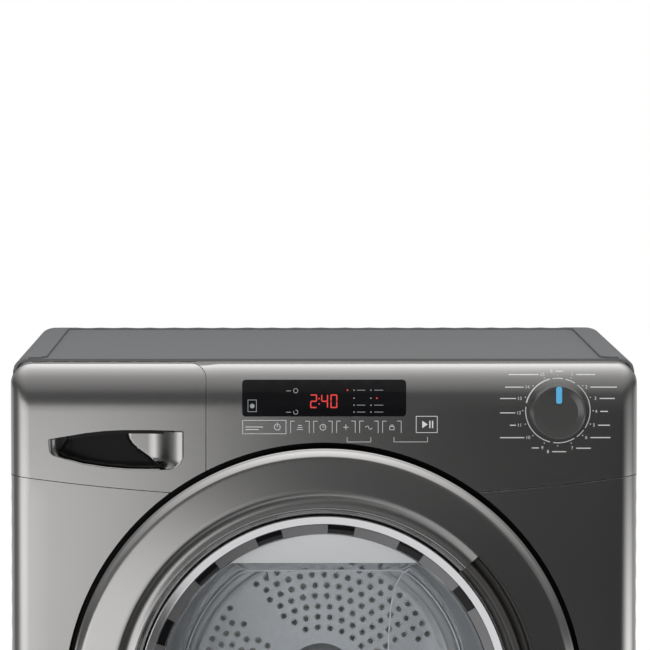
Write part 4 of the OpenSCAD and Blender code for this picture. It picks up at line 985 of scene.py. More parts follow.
def finger_lip():
    """The black lip under the recess's top edge."""
    top = [p for p in fine(grip_shape(0.6), 3) if p[1] > GRIP_TOP - 12 and GRIP_X0 + 17 < p[0] < GRIP_X1 - 18]
    top.sort()
    loop = fine(top[::-1] + [(x, z - 4.2) for x, z in top], 4)
    made = sheet("finger_lip", loop, [], [], [], lambda x, z: (x, 2.6, z), BLACK_PLASTIC, 4)
    thick(made, 1.4)
    soft_edges(made, 0.3)
    settle(made, "water_drawer")


def front_skin():
    """The front panel's painted sheet, from the plinth to the seam."""
    low = PLINTH_TOP + 0.9
    top = [(u, v - 2 * SEAM_GAP) for u, v in lower_edge(SEAM_GAP, LOW_RETURN)]
    outline = [(-U_MAX - LOW_RETURN, low), (U_MAX + LOW_RETURN, low)] + top[::-1]
    made = sheet("front_panel_skin", outline, [skin_hole()], LINES_U, frange(low, SEAM_LOW, 24), cover_form, GRAPHITE)
    thick(made, 1.0)
    soft_edges(made, 0.4)
    settle(made, "cabinet", ["front_panel"])


def door_recess():
    """The black well behind the door, with its throat to the drum."""
    r, t, d = RECESS_R, THROAT_R, RECESS_D
    section = [(r + 2.2, 0.6), (r + 0.2, 0.5), (r, 2), (r, d), (t, d), (t, d + 22), (t + 1.2, d + 22),
               (t + 1.2, d + 1.2), (r + 1.2, d + 1.2), (r + 1.2, 1.8), (r + 2.2, 1.8)]
    section = softened(section, [0, 0.5, 0.8, 3, 2, 0.3, 0.3, 2, 3, 0.3, 0.3])
    made = turned("door_recess", section, DOOR_MID, BLACK_PLASTIC, 240)
    settle(crisp(made, 50), "cabinet")


# ---- Display and printed marks ----

# Heights of the small signs beside the digits.
ICON_ROWS = [TOP - drop for drop in (26.5, 34.0, 40.6, 47.2)]
KEY_Z, KEY_H, KEY_STEP, STROKE = TOP - 67, 11, 21.8, 0.45
DIGIT_W, DIGIT_H, DIGIT_T = 6.6, 13.0, 1.15
SEGMENTS = {"0": "abcdef", "2": "abged", "4": "fgbc"}
DIAL_ARCS = [(-9, 9), (14, 32), (37, 122), (127, 144), (149, 188), (194, 277), (284, 346)]
# Across from and to, and height, of each printed position from the selector's middle.
LABELS = [(-6, 5.3, 37), (12, 35.4, 34), (25.4, 56, 22.3), (34, 54, 11.6), (34.7, 47.4, -0.7), (32.7, 49.4, -13.8),
          (25.4, 50, -25.6), (12, 31.4, -35.7), (-9.3, 8, -39), (-24.7, -13, -35.4), (-54.8, -26.7, -25.6),
          (-45.4, -34.7, -13.8), (-54.8, -35.5, -2), (-54.8, -34.7, 11.6), (-50, -27.4, 22.3), (-46.7, -13, 34)]


def plates(name, shapes, material, raised=PRINT_RAISED, body="cabinet", place=on_cover):
    """Thin raised plates on the front skin, one for each front-view outline."""
    verts, faces = [], []
    for shape in shapes:
        first, n = len(verts), len(shape)
        verts += [place(x, z, raised) for x, z in shape] + [place(x, z, 0.01) for x, z in shape]
        faces.append(tuple(first + k for k in range(n)))
        for k in range(n):
            j = (k + 1) % n
            faces.append((first + k, first + n + k, first + n + j, first + j))
    made = tidy(new_piece(name, verts, faces, material), merge=0.001)
    settle(crisp(made, 30), body)


def box_at(x0, z0, x1, z1):
    return [(x0, z0), (x1, z0), (x1, z1), (x0, z1)]


def frame_of(x0, z0, x1, z1, t=STROKE):
    """Four thin strokes round a rectangle."""
    return [box_at(x0, z0, x1, z0 + t), box_at(x0, z1 - t, x1, z1),
            box_at(x0, z0 + t, x0 + t, z1 - t), box_at(x1 - t, z0 + t, x1, z1 - t)]


def clockwise(cx, cz, r, start, end, steps):
    """Points on a circle, their angles clockwise from the top."""
    turns = [radians(start + (end - start) * k / steps) for k in range(steps + 1)]
    return [(cx + r * sin(a), cz + r * cos(a)) for a in turns]


def ring_piece(cx, cz, r0, r1, start, end):
    """Part of a flat ring, its angles clockwise from the top."""
    steps = max(2, int(abs(end - start) / 4))
    return clockwise(cx, cz, r1, start, end, steps) + clockwise(cx, cz, r0, end, start, steps)


def digit(text, x, z):
    """A seven-segment digit with its lower left corner at (x, z)."""
    w, h, t, m = DIGIT_W, DIGIT_H, DIGIT_T, z + DIGIT_H / 2
    bars = {
        "a": box_at(x + 0.5, z + h - t, x + w - 0.5, z + h), "d": box_at(x + 0.5, z, x + w - 0.5, z + t),
        "g": box_at(x + 0.6, m - t / 2, x + w - 0.6, m + t / 2),
        "b": box_at(x + w - t, m + 0.35, x + w, z + h - 0.5), "c": box_at(x + w - t, z + 0.5, x + w, m - 0.35),
        "f": box_at(x, m + 0.35, x + t, z + h - 0.5), "e": box_at(x, z + 0.5, x + t, m - 0.35)}
    return [bars[name] for name in SEGMENTS[text]]


def display_glass():
    made = sheet("display_glass", window_shape(0), [], LINES_U, LINES_V, cover_form, BLACK_GLOSS, 2.0)
    thick(made, 1.8)
    soft_edges(made, 0.35)
    settle(made, "cabinet", ["display_window"])


def red_digits():
    """A plain time in red segments, and two red dots beside it."""
    x, z = -13.3, TOP - 43.4
    shapes = digit("2", x, z) + digit("4", x + 10.4, z) + digit("0", x + 19.2, z)
    shapes += [circle(x + 8.5, z + rise, 0.75) for rise in (4.0, 9.0)]
    shapes += [circle(22.1, ICON_ROWS[0], 0.8), circle(50.0, ICON_ROWS[1], 0.8)]
    plates("red_digits", shapes, RED_LIGHT, raised=0.16)


def grey_icons():
    """Plain dots, rings, bars and a frame to the left and right of the digits."""
    shapes = [circle(x, z, 0.65) for x in (28.3, 44.3) for z in ICON_ROWS]
    shapes += frame_of(-72.5, TOP - 47.0, -64.0, TOP - 35.4, 0.5) + [circle(-68.2, TOP - 41.4, 2.2)]
    shapes += [ring_piece(-27, TOP - 27.0, 1.7, 2.3, 0, 356), ring_piece(-27, ICON_ROWS[3], 1.7, 2.3, 0, 300)]
    shapes += [box_at(-36, z, -31.5, z + 0.6) for z in (TOP - 27.4, TOP - 47.6)]
    shapes += [box_at(x0, z - 0.25, x1, z + 0.25) for x0, x1 in ((31, 39), (47.5, 56))
               for z in ICON_ROWS[:1] + ICON_ROWS[2:]]
    plates("grey_icons", shapes, ICON_LIGHT, raised=0.16)


def sign(kind, x, z):
    """A plain generic sign for a key: level lines, a clock, a plus, a wave, a lock."""
    if kind == 0:
        return [box_at(x - 3 + 0.6 * k, z - 2.4 + 2 * k, x + 3 - 0.6 * k, z - 1.9 + 2 * k) for k in range(3)]
    if kind == 1:
        return [ring_piece(x, z, 2.5, 3.0, 0, 356), box_at(x - 0.22, z, x + 0.22, z + 1.9),
                box_at(x, z - 0.22, x + 1.5, z + 0.22)]
    if kind == 2:
        return [box_at(x - 2.6, z - 0.25, x + 2.6, z + 0.25), box_at(x - 0.25, z - 2.6, x + 0.25, z - 0.25),
                box_at(x - 0.25, z + 0.25, x + 0.25, z + 2.6)]
    if kind == 3:
        return [ring_piece(x - 1.6, z - 0.4, 1.3, 1.75, -90, 90), ring_piece(x + 1.45, z - 0.4, 1.3, 1.75, 90, 270)]
    return frame_of(x - 2.3, z - 2.6, x + 2.3, z + 0.8) + [ring_piece(x, z + 0.8, 1.2, 1.65, -90, 90)]


def first_key(z):
    """A frame with two bars and an open ring with a stroke."""
    return frame_of(-77.5, z - 1.0, -36.0, z + 12.2) + [
        box_at(-74.5, z + 5.4, -58.0, z + 6.0), box_at(-74.5, z + 3.0, -62.0, z + 3.6),
        ring_piece(-44.5, z + 5.6, 2.6, 3.1, 20, 340), box_at(-44.75, z + 5.6, -44.25, z + 10.0)]


def middle_key(k, z):
    """Two corner strokes round a plain sign."""
    x, top, t = -32 + KEY_STEP * k, z + KEY_H, STROKE
    return [box_at(x, z, x + t, top), box_at(x, top, x + 4, top + t), box_at(x + 17.6, z, x + 17.6 + t, top),
            box_at(x + 14.0, top, x + 17.6 + t, top + t)] + sign(k, x + 9.0, z + 5.4)


def last_key(z):
    """A frame with a triangle and two upright bars."""
    low, high = z + 4.5, z + 11.5
    return frame_of(87.0, z, 107.5, z + 16.0, 0.55) + [
        [(93.0, low), (93.0, high), (98.2, z + 8.0)], box_at(99.6, low, 100.8, high), box_at(102.2, low, 103.4, high)]


def touch_keys():
    """Printed outlines of the keys under the display, with their small signs and two brackets below."""
    z = KEY_Z
    shapes = first_key(z) + [shape for k in range(5) for shape in middle_key(k, z)] + last_key(z)
    for x0, x1 in ((21.5, 44.4), (66.0, 98.2)):
        shapes += [box_at(x0, z - 8.4, x0 + 0.4, z - 4.0), box_at(x1 - 0.4, z - 8.4, x1, z - 4.0),
                   box_at(x0, z - 8.8, x1, z - 8.4)]
    plates("printed_keys", shapes, PRINT)


def dial_ring():
    """The broken ring round the selector. Its last part is broader than the others."""
    last = len(DIAL_ARCS) - 1
    shapes = [ring_piece(*KNOB_MID, 30.2, 31.4 if k == last else 31.0, *ends) for k, ends in enumerate(DIAL_ARCS)]
    plates("dial_ring", shapes, PRINT)


def dial_dots():
    pip = small_turned("pip", [(0.0, -0.13), (0.5, -0.12), (0.55, 0.0), (0.0, 0.0)], PRINT, 12)
    places = [(on_cover(x, z), (0, 0, 0)) for x, z in clockwise(*KNOB_MID, 33.4, 0, 337.5, 15)]
    settle(crisp(copies("dial_dots", pip, places, PRINT), 40), "cabinet")


def dial_labels():
    """A plain number at each position, on its side towards the ring, and a plain bar after it."""
    numbers, bars = [], []
    for value, (x0, x1, dz) in enumerate(LABELS):
        side = 0 if abs(x0 + x1) < 6 else math.copysign(1, x0)
        near = x1 if side < 0 else x0
        numbers.append(printed_number(str(value), KNOB_X + near + 1.6 * side, KNOB_Z + dz))
        start, end = (x0, x1 - 5) if side < 0 else (x0 + 4 + 1.5 * side, x1)
        bars.append(box_at(KNOB_X + start, KNOB_Z + dz - 0.45, KNOB_X + end, KNOB_Z + dz + 0.45))
    plates("dial_bars", bars, PRINT)
    join_numbers(numbers)


def printed_number(text, x, z):
    """A plain number's mesh on the front skin, centred at (x, z)."""
    data = bpy.data.curves.new("number_" + text, "FONT")
    data.body, data.size = text, 4.4
    data.align_x, data.align_y = "CENTER", "CENTER"
    data.resolution_u = 3
    holder = linked("number_" + text, data)
    graph = bpy.context.evaluated_depsgraph_get()
    mesh = bpy.data.meshes.new_from_object(holder.evaluated_get(graph))
    bpy.data.objects.remove(holder)
    for vert in mesh.vertices:
        vert.co = on_cover(x + vert.co.x, z + vert.co.y, PRINT_RAISED)
    return mesh


def join_numbers(numbers):
    """All numbers as one piece."""
    made = new_piece("dial_numbers", [], [], PRINT)

    def change(form):
        for mesh in numbers:
            mesh.materials.clear()
            form.from_mesh(mesh)
            bpy.data.meshes.remove(mesh)
    facing(edited(made, change), FORWARD)
    thick(made, 0.1)
    settle(made, "cabinet")


def selector():
    """The knob's cap, the bright collar under it, and its spindle."""
    r, p = KNOB_R, KNOB_PROUD
    cap = [(0.0, -p + 1.8), (r - 8, -p + 1.4), (r - 3, -p + 0.5), (r - 1.6, -p + 0.3), (r - 0.3, -p + 3), (r, -1.2),
           (r - 2.4, -1.2), (r - 2.6, -p + 8.4), (r - 4, -p + 5), (0.0, -p + 5)]
    cap = softened(cap, [0, 4, 2.2, 1.2, 2, 0.5, 0.5, 1, 1, 0], 5)
    settle(crisp(turned("selector_cap", cap, KNOB_MID, KNOB_GLOSS, 128), 50),
           "selector", ["selector_knob"])
    collar = softened([(r - 2.2, -3.4), (r - 0.4, -3.2), (r - 0.2, -0.8), (r - 2.4, -0.8)], 0.4)
    settle(crisp(turned("selector_collar", collar, KNOB_MID, BRIGHT_STEEL, 128), 50), "selector")
    spindle = [(0.0, -12), (2.8, -12), (3, -11.6), (3, 12), (0.0, 12)]
    settle(crisp(turned("selector_spindle", spindle, KNOB_MID, BRIGHT_STEEL, 32), 40), "selector")


def pointer():
    """The knob's blue mark, near the top of its cap."""
    def on_cap(x, z, raised):
        return at(x, -KNOB_PROUD + 1.5 - raised * 2.2, z)
    w, h, middle = 5.6, 16, KNOB_Z + KNOB_R - 9.8
    loop = round_box(KNOB_X - w / 2, middle - h / 2, KNOB_X + w / 2, middle + h / 2, 2, 5)
    plates("blue_pointer", [loop], POINTER, raised=0.6, body="selector", place=on_cap)


# ---- Door ----

GLASS_STEPS = 192
CLIPS, CLIP_ARC = 15, 8.8


def bezel_outline(inner_limit=None):
    """The bezel's closed section as (radius, depth): outer wall and lip, sloping face, step, crest and throat."""
    p, t, r = DOOR_PROUD, 2.5, LIP_R
    outer = [(r - t, 16), (r, 16), (r, 8.0 - p), (r - 0.5, 7.3 - p), (r - 1.2, 7.0 - p), (r - 2.0, 6.6 - p),
             (r - 2.7, 6.0 - p), (r - 6.7, 2.95 - p), (r - 7.4, 2.6 - p), (r - 8.6, 2.3 - p), (r - 10.5, 2.2 - p)]
    below = [(r - 11.5, 4.9 - p), (r - 8.0, 5.6 - p), (r - 5.2, 8.8 - p), (r - t, 9.6 - p)]
    if inner_limit:
        return outer + [(inner_limit, 0.5 - p), (inner_limit, 3.1 - p)] + below
    face = [(220, 1.3 - p), (206, 0.6 - p), (202.4, 0.35 - p), (201.2, 0.5 - p), (199, 1.18 - p), (197, 1.64 - p),
            (195, 1.88 - p), (193, 1.92 - p), (191, 1.76 - p), (189, 1.45 - p), (187.4, 1.12 - p), (186.6, 1.05 - p),
            (186.0, 1.25 - p), (185.2, 2.2 - p), (184.4, 4.6 - p), (182.6, 8.0 - p), (BEZEL_R, 4), (BEZEL_R, 6.9),
            (185.4, 9.4 - p), (188, 5.2 - p), (194, 5.4 - p), (197.4, 5.0 - p), (200.5, 3.8 - p)]
    return outer + face + below


def hinge_notch():
    """The block that makes room for the hinge in the bezel's back."""
    high, deep = 27.5, 30
    low, far = (-256, 2.6 - DOOR_PROUD, DOOR_Z - high), (-236.4, deep, DOOR_Z + high)
    verts = [at(x, d, z) for x in (low[0], far[0]) for d in (low[1], far[1]) for z in (low[2], far[2])]
    faces = [(0, 1, 3, 2), (4, 6, 7, 5), (0, 4, 5, 1), (2, 3, 7, 6), (0, 2, 6, 4), (1, 5, 7, 3)]
    return new_piece("notch", verts, faces, GRAPHITE_PLASTIC)


def bezel():
    """The door's ring, whole but for the grip's part, where only its outer half runs on."""
    half, rest = GRIP_ARC / 2, 360 - GRIP_ARC
    ring = turned("door_ring", bezel_outline(), DOOR_MID, GRAPHITE_PLASTIC, rest, half, rest)
    side = turned("door_ring_side", bezel_outline(RING_R + 4), DOOR_MID, GRAPHITE_PLASTIC, GRIP_ARC, -half, GRIP_ARC)

    def open_ends(form):
        for face in [f for f in form.faces if len(f.verts) > 8]:
            if min(math.hypot(v.co.x, v.co.z - DOOR_Z * MM) for v in face.verts) > (RING_R + 3) * MM:
                form.faces.remove(face)
    edited(joined(ring, side), open_ends)
    notch = hinge_notch()
    cut = ring.modifiers.new("hinge notch", "BOOLEAN")
    cut.operation, cut.object, cut.solver = "DIFFERENCE", notch, "EXACT"
    applied(ring)
    bpy.data.objects.remove(notch)
    settle(crisp(shaded(ring, True), 42), "door", ["door_bezel"])


def grip():
    """The crescent trough at the door's free side."""
    r0, r1, p = BEZEL_R + 1.0, RING_R + 3.7, DOOR_PROUD
    half = GRIP_ARC / 2 - 0.1
    section = [(r0, FLANGE_D - 0.4), (r1, FLANGE_D - 0.4), (r1, 0.8 - p), (r1 - 1.2, 0.8 - p),
               (r1 - 2.4, FLANGE_D - 3.8), (r0 + 15.4, FLANGE_D - 3.8), (r0 + 13.2, 3.0 - p), (r0 + 11.8, 2.5 - p),
               (r0 + 7.6, 2.3 - p), (r0 + 4.4, 8.0 - p)]
    section = softened(section, [0.3, 0.4, 0.5, 0.6, 3, 2.5, 0.8, 0.9, 1.6, 1.0])
    made = turned("door_grip", section, DOOR_MID, GRIP_PLASTIC, GRIP_ARC, -half, 2 * half)
    settle(crisp(made, 45), "door", ["door_handle"])


def cut_flat(form, start, end, part, centre, material):
    """Cuts off what lies above the line from start to end, given as (depth, height), between two depths."""
    p, q = (Vector(at(0, d, DOOR_Z + h)) for d, h in (start, end))
    along = q - p
    up = Vector((0, -along.z, along.y)).normalized()
    if up.z < 0:
        up.negate()
    low, high = [(FRONT + d) * MM for d in part]
    faces = [f for f in form.faces if low < f.calc_center_median().y < high]
    edges = list(dict.fromkeys(e for f in faces for e in f.edges))
    verts = list(dict.fromkeys(v for f in faces for v in f.verts))
    cut = bmesh.ops.bisect_plane(form, geom=verts + edges + faces, dist=1e-6, plane_co=p, plane_no=up,
                                 clear_outer=True)["geom_cut"]
    loop = [v for v in cut if isinstance(v, bmesh.types.BMVert)]
    cx, cy, use_depth = centre
    loop.sort(key=lambda v: math.atan2((v.co.y if use_depth else v.co.z) - cy * MM, v.co.x - cx * MM))
    face = form.faces.new(loop)
    face.material_index = material


def rings(form, section):
    """Rings of points round the door's middle, one for each (radius, depth)."""
    turns = [2 * pi * k / GLASS_STEPS for k in range(GLASS_STEPS)]
    return [[form.verts.new(at(r * cos(a), d, DOOR_Z + r * sin(a))) for a in turns] for r, d in section]


def bridge(form, a, b):
    """Faces between two rings."""
    for k in range(GLASS_STEPS):
        m = (k + 1) % GLASS_STEPS
        form.faces.new((a[k], a[m], b[m], b[k]))


def bowl_section(inset):
    """One side of the bowl as (radius, depth): root, wall, round corner and end."""
    d0, d1 = (FLANGE_D if inset else FLANGE_D + 4), BOWL_DEPTH - inset
    c, root, end = 16 - inset / 2, BOWL_ROOT - inset, BOWL_END - inset
    start = root - 2
    # The ring where the facet ends is there twice, so that the two cuts stay apart.
    wall = [(root, d0), (root - 0.7, 16), (start, FACET_D), (start, FACET_D)]
    wall += [(start + (end - start) * k / 10, FACET_D + (d1 - c - FACET_D) * k / 10) for k in range(1, 11)]
    bend = [(end - c + c * cos(a), d1 - c + c * sin(a)) for a in [radians(7.5 * k) for k in range(1, 13)]]
    return wall + bend + [((end - c) * k / 6, d1) for k in range(5, 0, -1)]


def bowl_shell(inset):
    """One side of the glass bowl, with a slanted facet at its root and a flat top. The inner facet is frosted, and its
    pale tone is partly painted light.
    """
    section = bowl_section(inset)
    form = bmesh.new()
    loops = rings(form, section)
    for i in range(len(loops) - 1):
        if section[i] != section[i + 1]:
            bridge(form, loops[i], loops[i + 1])
    tip = form.verts.new(at(0, BOWL_DEPTH - inset, DOOR_Z))
    for k in range(GLASS_STEPS):
        form.faces.new((loops[-1][k], loops[-1][(k + 1) % GLASS_STEPS], tip))
    root, bend_at, end = [(d, h - inset) for d, h in FLAT_TOP]
    cut_flat(form, bend_at, end, (FACET_D, 200), (0, FRONT + 70, True), 0)
    cut_flat(form, root, bend_at, (0, FACET_D), (0, DOOR_Z + 90, False), 1 if inset else 0)
    bmesh.ops.remove_doubles(form, verts=form.verts, dist=0.01 * MM)
    mesh = bpy.data.meshes.new("shell")
    form.to_mesh(mesh)
    form.free()
    return mesh


def window():
    """The glass: a flange, and a bowl with its facet, closed between its inner and outer sides."""
    made = new_piece("door_window", [], [], GLASS)
    made.data.materials.append(FACET_FROSTED_LIT)
    rim, d = RING_R - 13, FLANGE_D
    flange = [(BOWL_ROOT - 4, d), (172, d), (rim - 0.3, d), (rim, d + 0.4), (rim, d + 3.6), (rim - 0.4, d + 4),
              (BOWL_ROOT, d + 4)]

    def change(form):
        for inset in (4, 0):
            shell = bowl_shell(inset)
            form.from_mesh(shell)
            bpy.data.meshes.remove(shell)
        loops = rings(form, flange)
        for a, b in zip(loops, loops[1:]):
            bridge(form, a, b)
        bmesh.ops.remove_doubles(form, verts=form.verts, dist=0.01 * MM)
        bmesh.ops.recalc_face_normals(form, faces=form.faces)
    edited(made, change)
    settle(crisp(shaded(made, True), 24), "door", ["door_glass"])


def tube(name, path, radius, material, around=12):
    """A round bar along a closed or open path of (x, depth, height over the door's middle)."""
    points = [Vector((x, d, h)) for x, d, h in path]
    closed = (points[0] - points[-1]).length < 8
    verts, faces, n = [], [], len(points)
    for k, p in enumerate(points):
        ahead = points[(k + 1) % n] if closed or k + 1 < n else p
        behind = points[k - 1] if closed or k else p
        side = (ahead - behind).normalized().cross(Vector((0, 1, 0))).normalized()
        verts += [at(*(p + side * radius * cos(2 * pi * i / around) + Vector((0, radius * sin(2 * pi * i / around), 0))
                       + Vector((0, 0, DOOR_Z)))) for i in range(around)]
    for k in range(n if closed else n - 1):
        a, b = k * around, (k + 1) % n * around
        faces += [(a + i, a + (i + 1) % around, b + (i + 1) % around, b + i) for i in range(around)]
    if not closed:
        faces += [tuple(range(around)), tuple(range((n - 1) * around, n * around))]
    return tidy(new_piece(name, verts, faces, material), merge=0.005)


def bowl_beads():
    """The moulded bead round the flat-topped bowl's end and the upright rib at its right, both raised glass drawn pale:
    a painted highlight for their light lines.
    """
    r, h, round_r = BOWL_END - 6, 113, 30
    top = h - round_r
    cx = sqrt((r - round_r) ** 2 - top ** 2)
    meet = math.degrees(math.atan2(top, cx))
    right = arc(cx, top, round_r, 90, meet, 10)
    path = right + arc(0, 0, r, meet, meet - (meet + 90) * 2, 150)[1:-1] + [(-x, z) for x, z in right[::-1]]
    bead = tube("door_glass_bead", [(x, 116, z) for x, z in fine(path, 6)], 1.2, BEAD_GLINT)
    settle(bead, "door")
    rib = [(82, 60, 120), (76, 92, 112), (70, 108, 98), (66, 115, 78), (64, 117, 50), (63.5, 117, 20), (64, 117, -20),
           (66, 117, -60), (70, 114, -96)]
    settle(tube("door_glass_rib", rib, 0.9, BEAD_GLINT), "door")


def glass_rim():
    """The bright rim that frames the bowl, and the dark band inside it."""
    rim = softened([(169.3, 7.0), (169.4, 5.2), (171.6, 4.6), (176.8, 2.7), (177.7, 3.0), (177.8, 7.0)],
                   [0.4, 0.6, 0.8, 0.7, 0.5, 0.4])
    settle(crisp(turned("door_glass_rim", rim, DOOR_MID, RIM_METAL, 240), 50), "door")
    band = [(160.2, 7.0), (169.2, 4.8), (169.2, 5.2), (160.2, 7.3)]
    settle(crisp(turned("door_glass_band", band, DOOR_MID, RING_GLASS, 240), 40), "door")


def glass_clips():
    """Black clips, evenly spaced on the band."""
    section = softened([(160.8, 0), (169.0, -2.0), (169.0, -1.3), (160.8, 0.7)], 0.3, 2)
    clip = turned("clip", section, (0, 0), BLACK_GLOSS, 10, -CLIP_ARC / 2, CLIP_ARC)
    clip.data.transform(Matrix.Translation((0, -FRONT * MM, 0)))
    places = [(at(0, 6.2, DOOR_Z), (0, radians(-84.4 - 360 / CLIPS * k), 0)) for k in range(CLIPS)]
    settle(crisp(copies("door_glass_clips", clip, places, BLACK_GLOSS), 40), "door")


# ---- Drum ----

VENTS = [55.9 + 11.2 * i for i in range(7)]     # radii of the rings of holes
VENT_R, VENT_STEP = 2.6, 12.6
VENT_REACH = 2.49       # a face whose middle is nearer to a hole's centre lies in the hole
HUB_R, STRIP_W = 38, 34
BACK_D = DRUM_BACK - 1.2
RIDGE_R, RIDGE_HALF, RIDGE_H = 139, 7, 3.2
SHEET_RINGS = (131.5, 136, 142, 148, 165, 190, 215, 240, 262)


def vent_points():
    """Centres of the holes in the drum's back, clear of the plain strips."""
    out = []
    for i, r in enumerate(VENTS):
        n = int(2 * pi * r / VENT_STEP)
        for k in range(n):
            a = 2 * pi * (k + (i % 2) / 2) / n
            x, z = r * cos(a), r * sin(a)
            gaps = []
            for b in (radians(133 + 120 * s) for s in range(3)):
                if x * cos(b) + z * sin(b) > 0:
                    gaps.append(abs(z * cos(b) - x * sin(b)))
            if not gaps or min(gaps) > STRIP_W / 2 - 1:
                out.append((x, z))
    return out


def drum_sheet(holes):
    """The drum's back: a perforated field with three plain strips, and a raised ring round it."""
    cell, near = 6, {}
    for hole in holes:
        for place in cells_near(hole, cell):
            near.setdefault(place, []).append(hole)
    loops = [circle(0, 0, DRUM_R - 0.2, 180), circle(0, 0, HUB_R + 1, 60)]
    points, edges = loop_edges(loops + [circle(x, z, VENT_R, 12) for x, z in holes])
    for r in SHEET_RINGS:
        points += circle(0, 0, r, 120)

    def keep(x, z):
        close = near.get((int(x // cell), int(z // cell)), ())
        in_hole = any((x - a) ** 2 + (z - b) ** 2 < VENT_REACH ** 2 for a, b in close)
        return x * x + z * z > (HUB_R + 1) ** 2 and not in_hole

    def dished(x, z):
        rise = RIDGE_H * max(0.0, 1 - abs(math.hypot(x, z) - RIDGE_R) / RIDGE_HALF) ** 0.7
        return at(x, BACK_D - rise, DRUM_Z + z)
    made = skin("drum_back_sheet", points, edges, keep, dished, DRUM_STEEL, 0.005)
    thick(made, 0.9)
    settle(crisp(applied(made), 40), "drum", ["drum_back"])


def vent_collars(holes):
    """The pressed edge round each hole."""
    collar = small_turned("collar", [(2.6, -0.5), (3.3, -0.45), (3.7, 0.1), (2.6, 0.1)], BRIGHT_STEEL, 14)
    places = [(at(x, BACK_D, DRUM_Z + z), (0, 0, 0)) for x, z in holes]
    settle(copies("drum_vent_collars", collar, places, BRIGHT_STEEL), "drum")


def drum_hub():
    """The dished middle of the drum's back."""
    r, d = HUB_R, BACK_D
    hub = [(0.0, d - 12), (r - 12, d - 11), (r - 3, d - 6), (r + 1, d), (r + 1, d + 1), (r - 3, d + 1), (r - 5, d - 4),
           (r - 13, d - 9), (0.0, d - 10)]
    made = turned("drum_hub", softened(hub, [0, 6, 5, 2, 0.3, 1, 4, 5, 0]), DRUM_MID, DRUM_STEEL, 128)
    settle(crisp(made, 50), "drum")


def drum_back():
    holes = vent_points()
    drum_sheet(holes)
    vent_collars(holes)
    drum_hub()


def drum_wall():
    """The drum's wall with two rolled beads, open at the mouth."""
    r, t, d0, d1, b, mouth = DRUM_R, 1.2, DRUM_START, DRUM_BACK - 2.2, 262, 255
    section = [(mouth, d0), (r - 4, d0), (r, d0 + 4), (r, b - 60), (r - 3, b - 54), (r - 3, b - 46),
               (r, b - 40), (r, b + 60), (r - 3, b + 66), (r - 3, b + 74), (r, b + 80), (r, d1),
               (r - t, d1), (r - t, b + 80.5), (r - t - 3, b + 74.3), (r - t - 3, b + 65.7),
               (r - t, b + 59.5), (r - t, b - 39.5), (r - t - 3, b - 45.7), (r - t - 3, b - 54.3),
               (r - t, b - 60.5), (r - t, d0 + 4.5), (r - 4.5, d0 + t), (mouth, d0 + t)]
    section = softened(section, [0.3] + [3] * 10 + [0.2, 0.2] + [3] * 10 + [0.3], 3)
    made = turned("drum_wall", section, DRUM_MID, DRUM_STEEL, 240)
    settle(crisp(made, 60), "drum", ["drum_shell"])


PADDLE_W, PADDLE_H, PADDLE_LEN = 44, 46, 330
PADDLE_START = DRUM_START + 22
PADDLE_BASE = DRUM_R - 1.2 - 3.3
# How far along a paddle's first half, and its share of the full height there.
PADDLE_END = [(0.0, 0.10), (0.01, 0.35), (0.03, 0.6), (0.07, 0.85), (0.13, 0.97), (0.2, 1)]


def paddle_line(share):
    """A paddle's crest as (across, height), from one foot to the other."""
    tall, half = max(6, PADDLE_H * share), PADDLE_W * (0.86 + 0.14 * share)
    return [(-half, 0), (-half * 0.72, tall * 0.2), (-half * 0.42, tall * 0.62), (-10, tall * 0.93), (0, tall),
            (10, tall * 0.93), (half * 0.42, tall * 0.62), (half * 0.72, tall * 0.2), (half, 0)]


def paddle(turn):
    """One paddle along the drum, with a rounded crest and tapered ends."""
    verts, faces, base, a = [], [], PADDLE_BASE, radians(turn)
    stations = PADDLE_END + [(1 - t, s) for t, s in reversed(PADDLE_END)]
    for t, share in stations:
        for z, h in paddle_line(share):
            drop = base - sqrt(base * base - z * z)
            x = base - h - (drop if h < 1 else 0)
            verts.append(at(x * cos(a) + z * sin(a), PADDLE_START + PADDLE_LEN * t,
                            DRUM_Z - x * sin(a) + z * cos(a)))
    count = len(verts) // len(stations)
    for i in range(len(stations) - 1):
        for j in range(count):
            m = (j + 1) % count
            faces.append((i * count + j, i * count + m, (i + 1) * count + m, (i + 1) * count + j))
    faces += [tuple(range(count)), tuple(reversed(range(len(verts) - count, len(verts))))]
    made = tidy(new_piece("paddle", verts, faces, FINISHES["light_plastic"]))
    round_off = made.modifiers.new("round", "SUBSURF")
    round_off.levels = round_off.render_levels = 2
    return applied(made)


def paddles():
    whole = joined(joined(paddle(17), paddle(137)), paddle(257))
    whole.name = "drum_paddles"
    settle(crisp(whole, 60), "drum", ["drum_lifters"])


# ---- Worktop ----

WORKTOP_EDGE, REAR_EDGE = 12, 6     # radii of its side edges and of its rear edge
REAR_CORNER = 26
WORKTOP_DROP = 24
W_SIDE, W_REAR = WORKTOP_EDGE * pi / 2, REAR_EDGE * pi / 2
WORKTOP_END = WORKTOP_HIGH[1] - FRONT


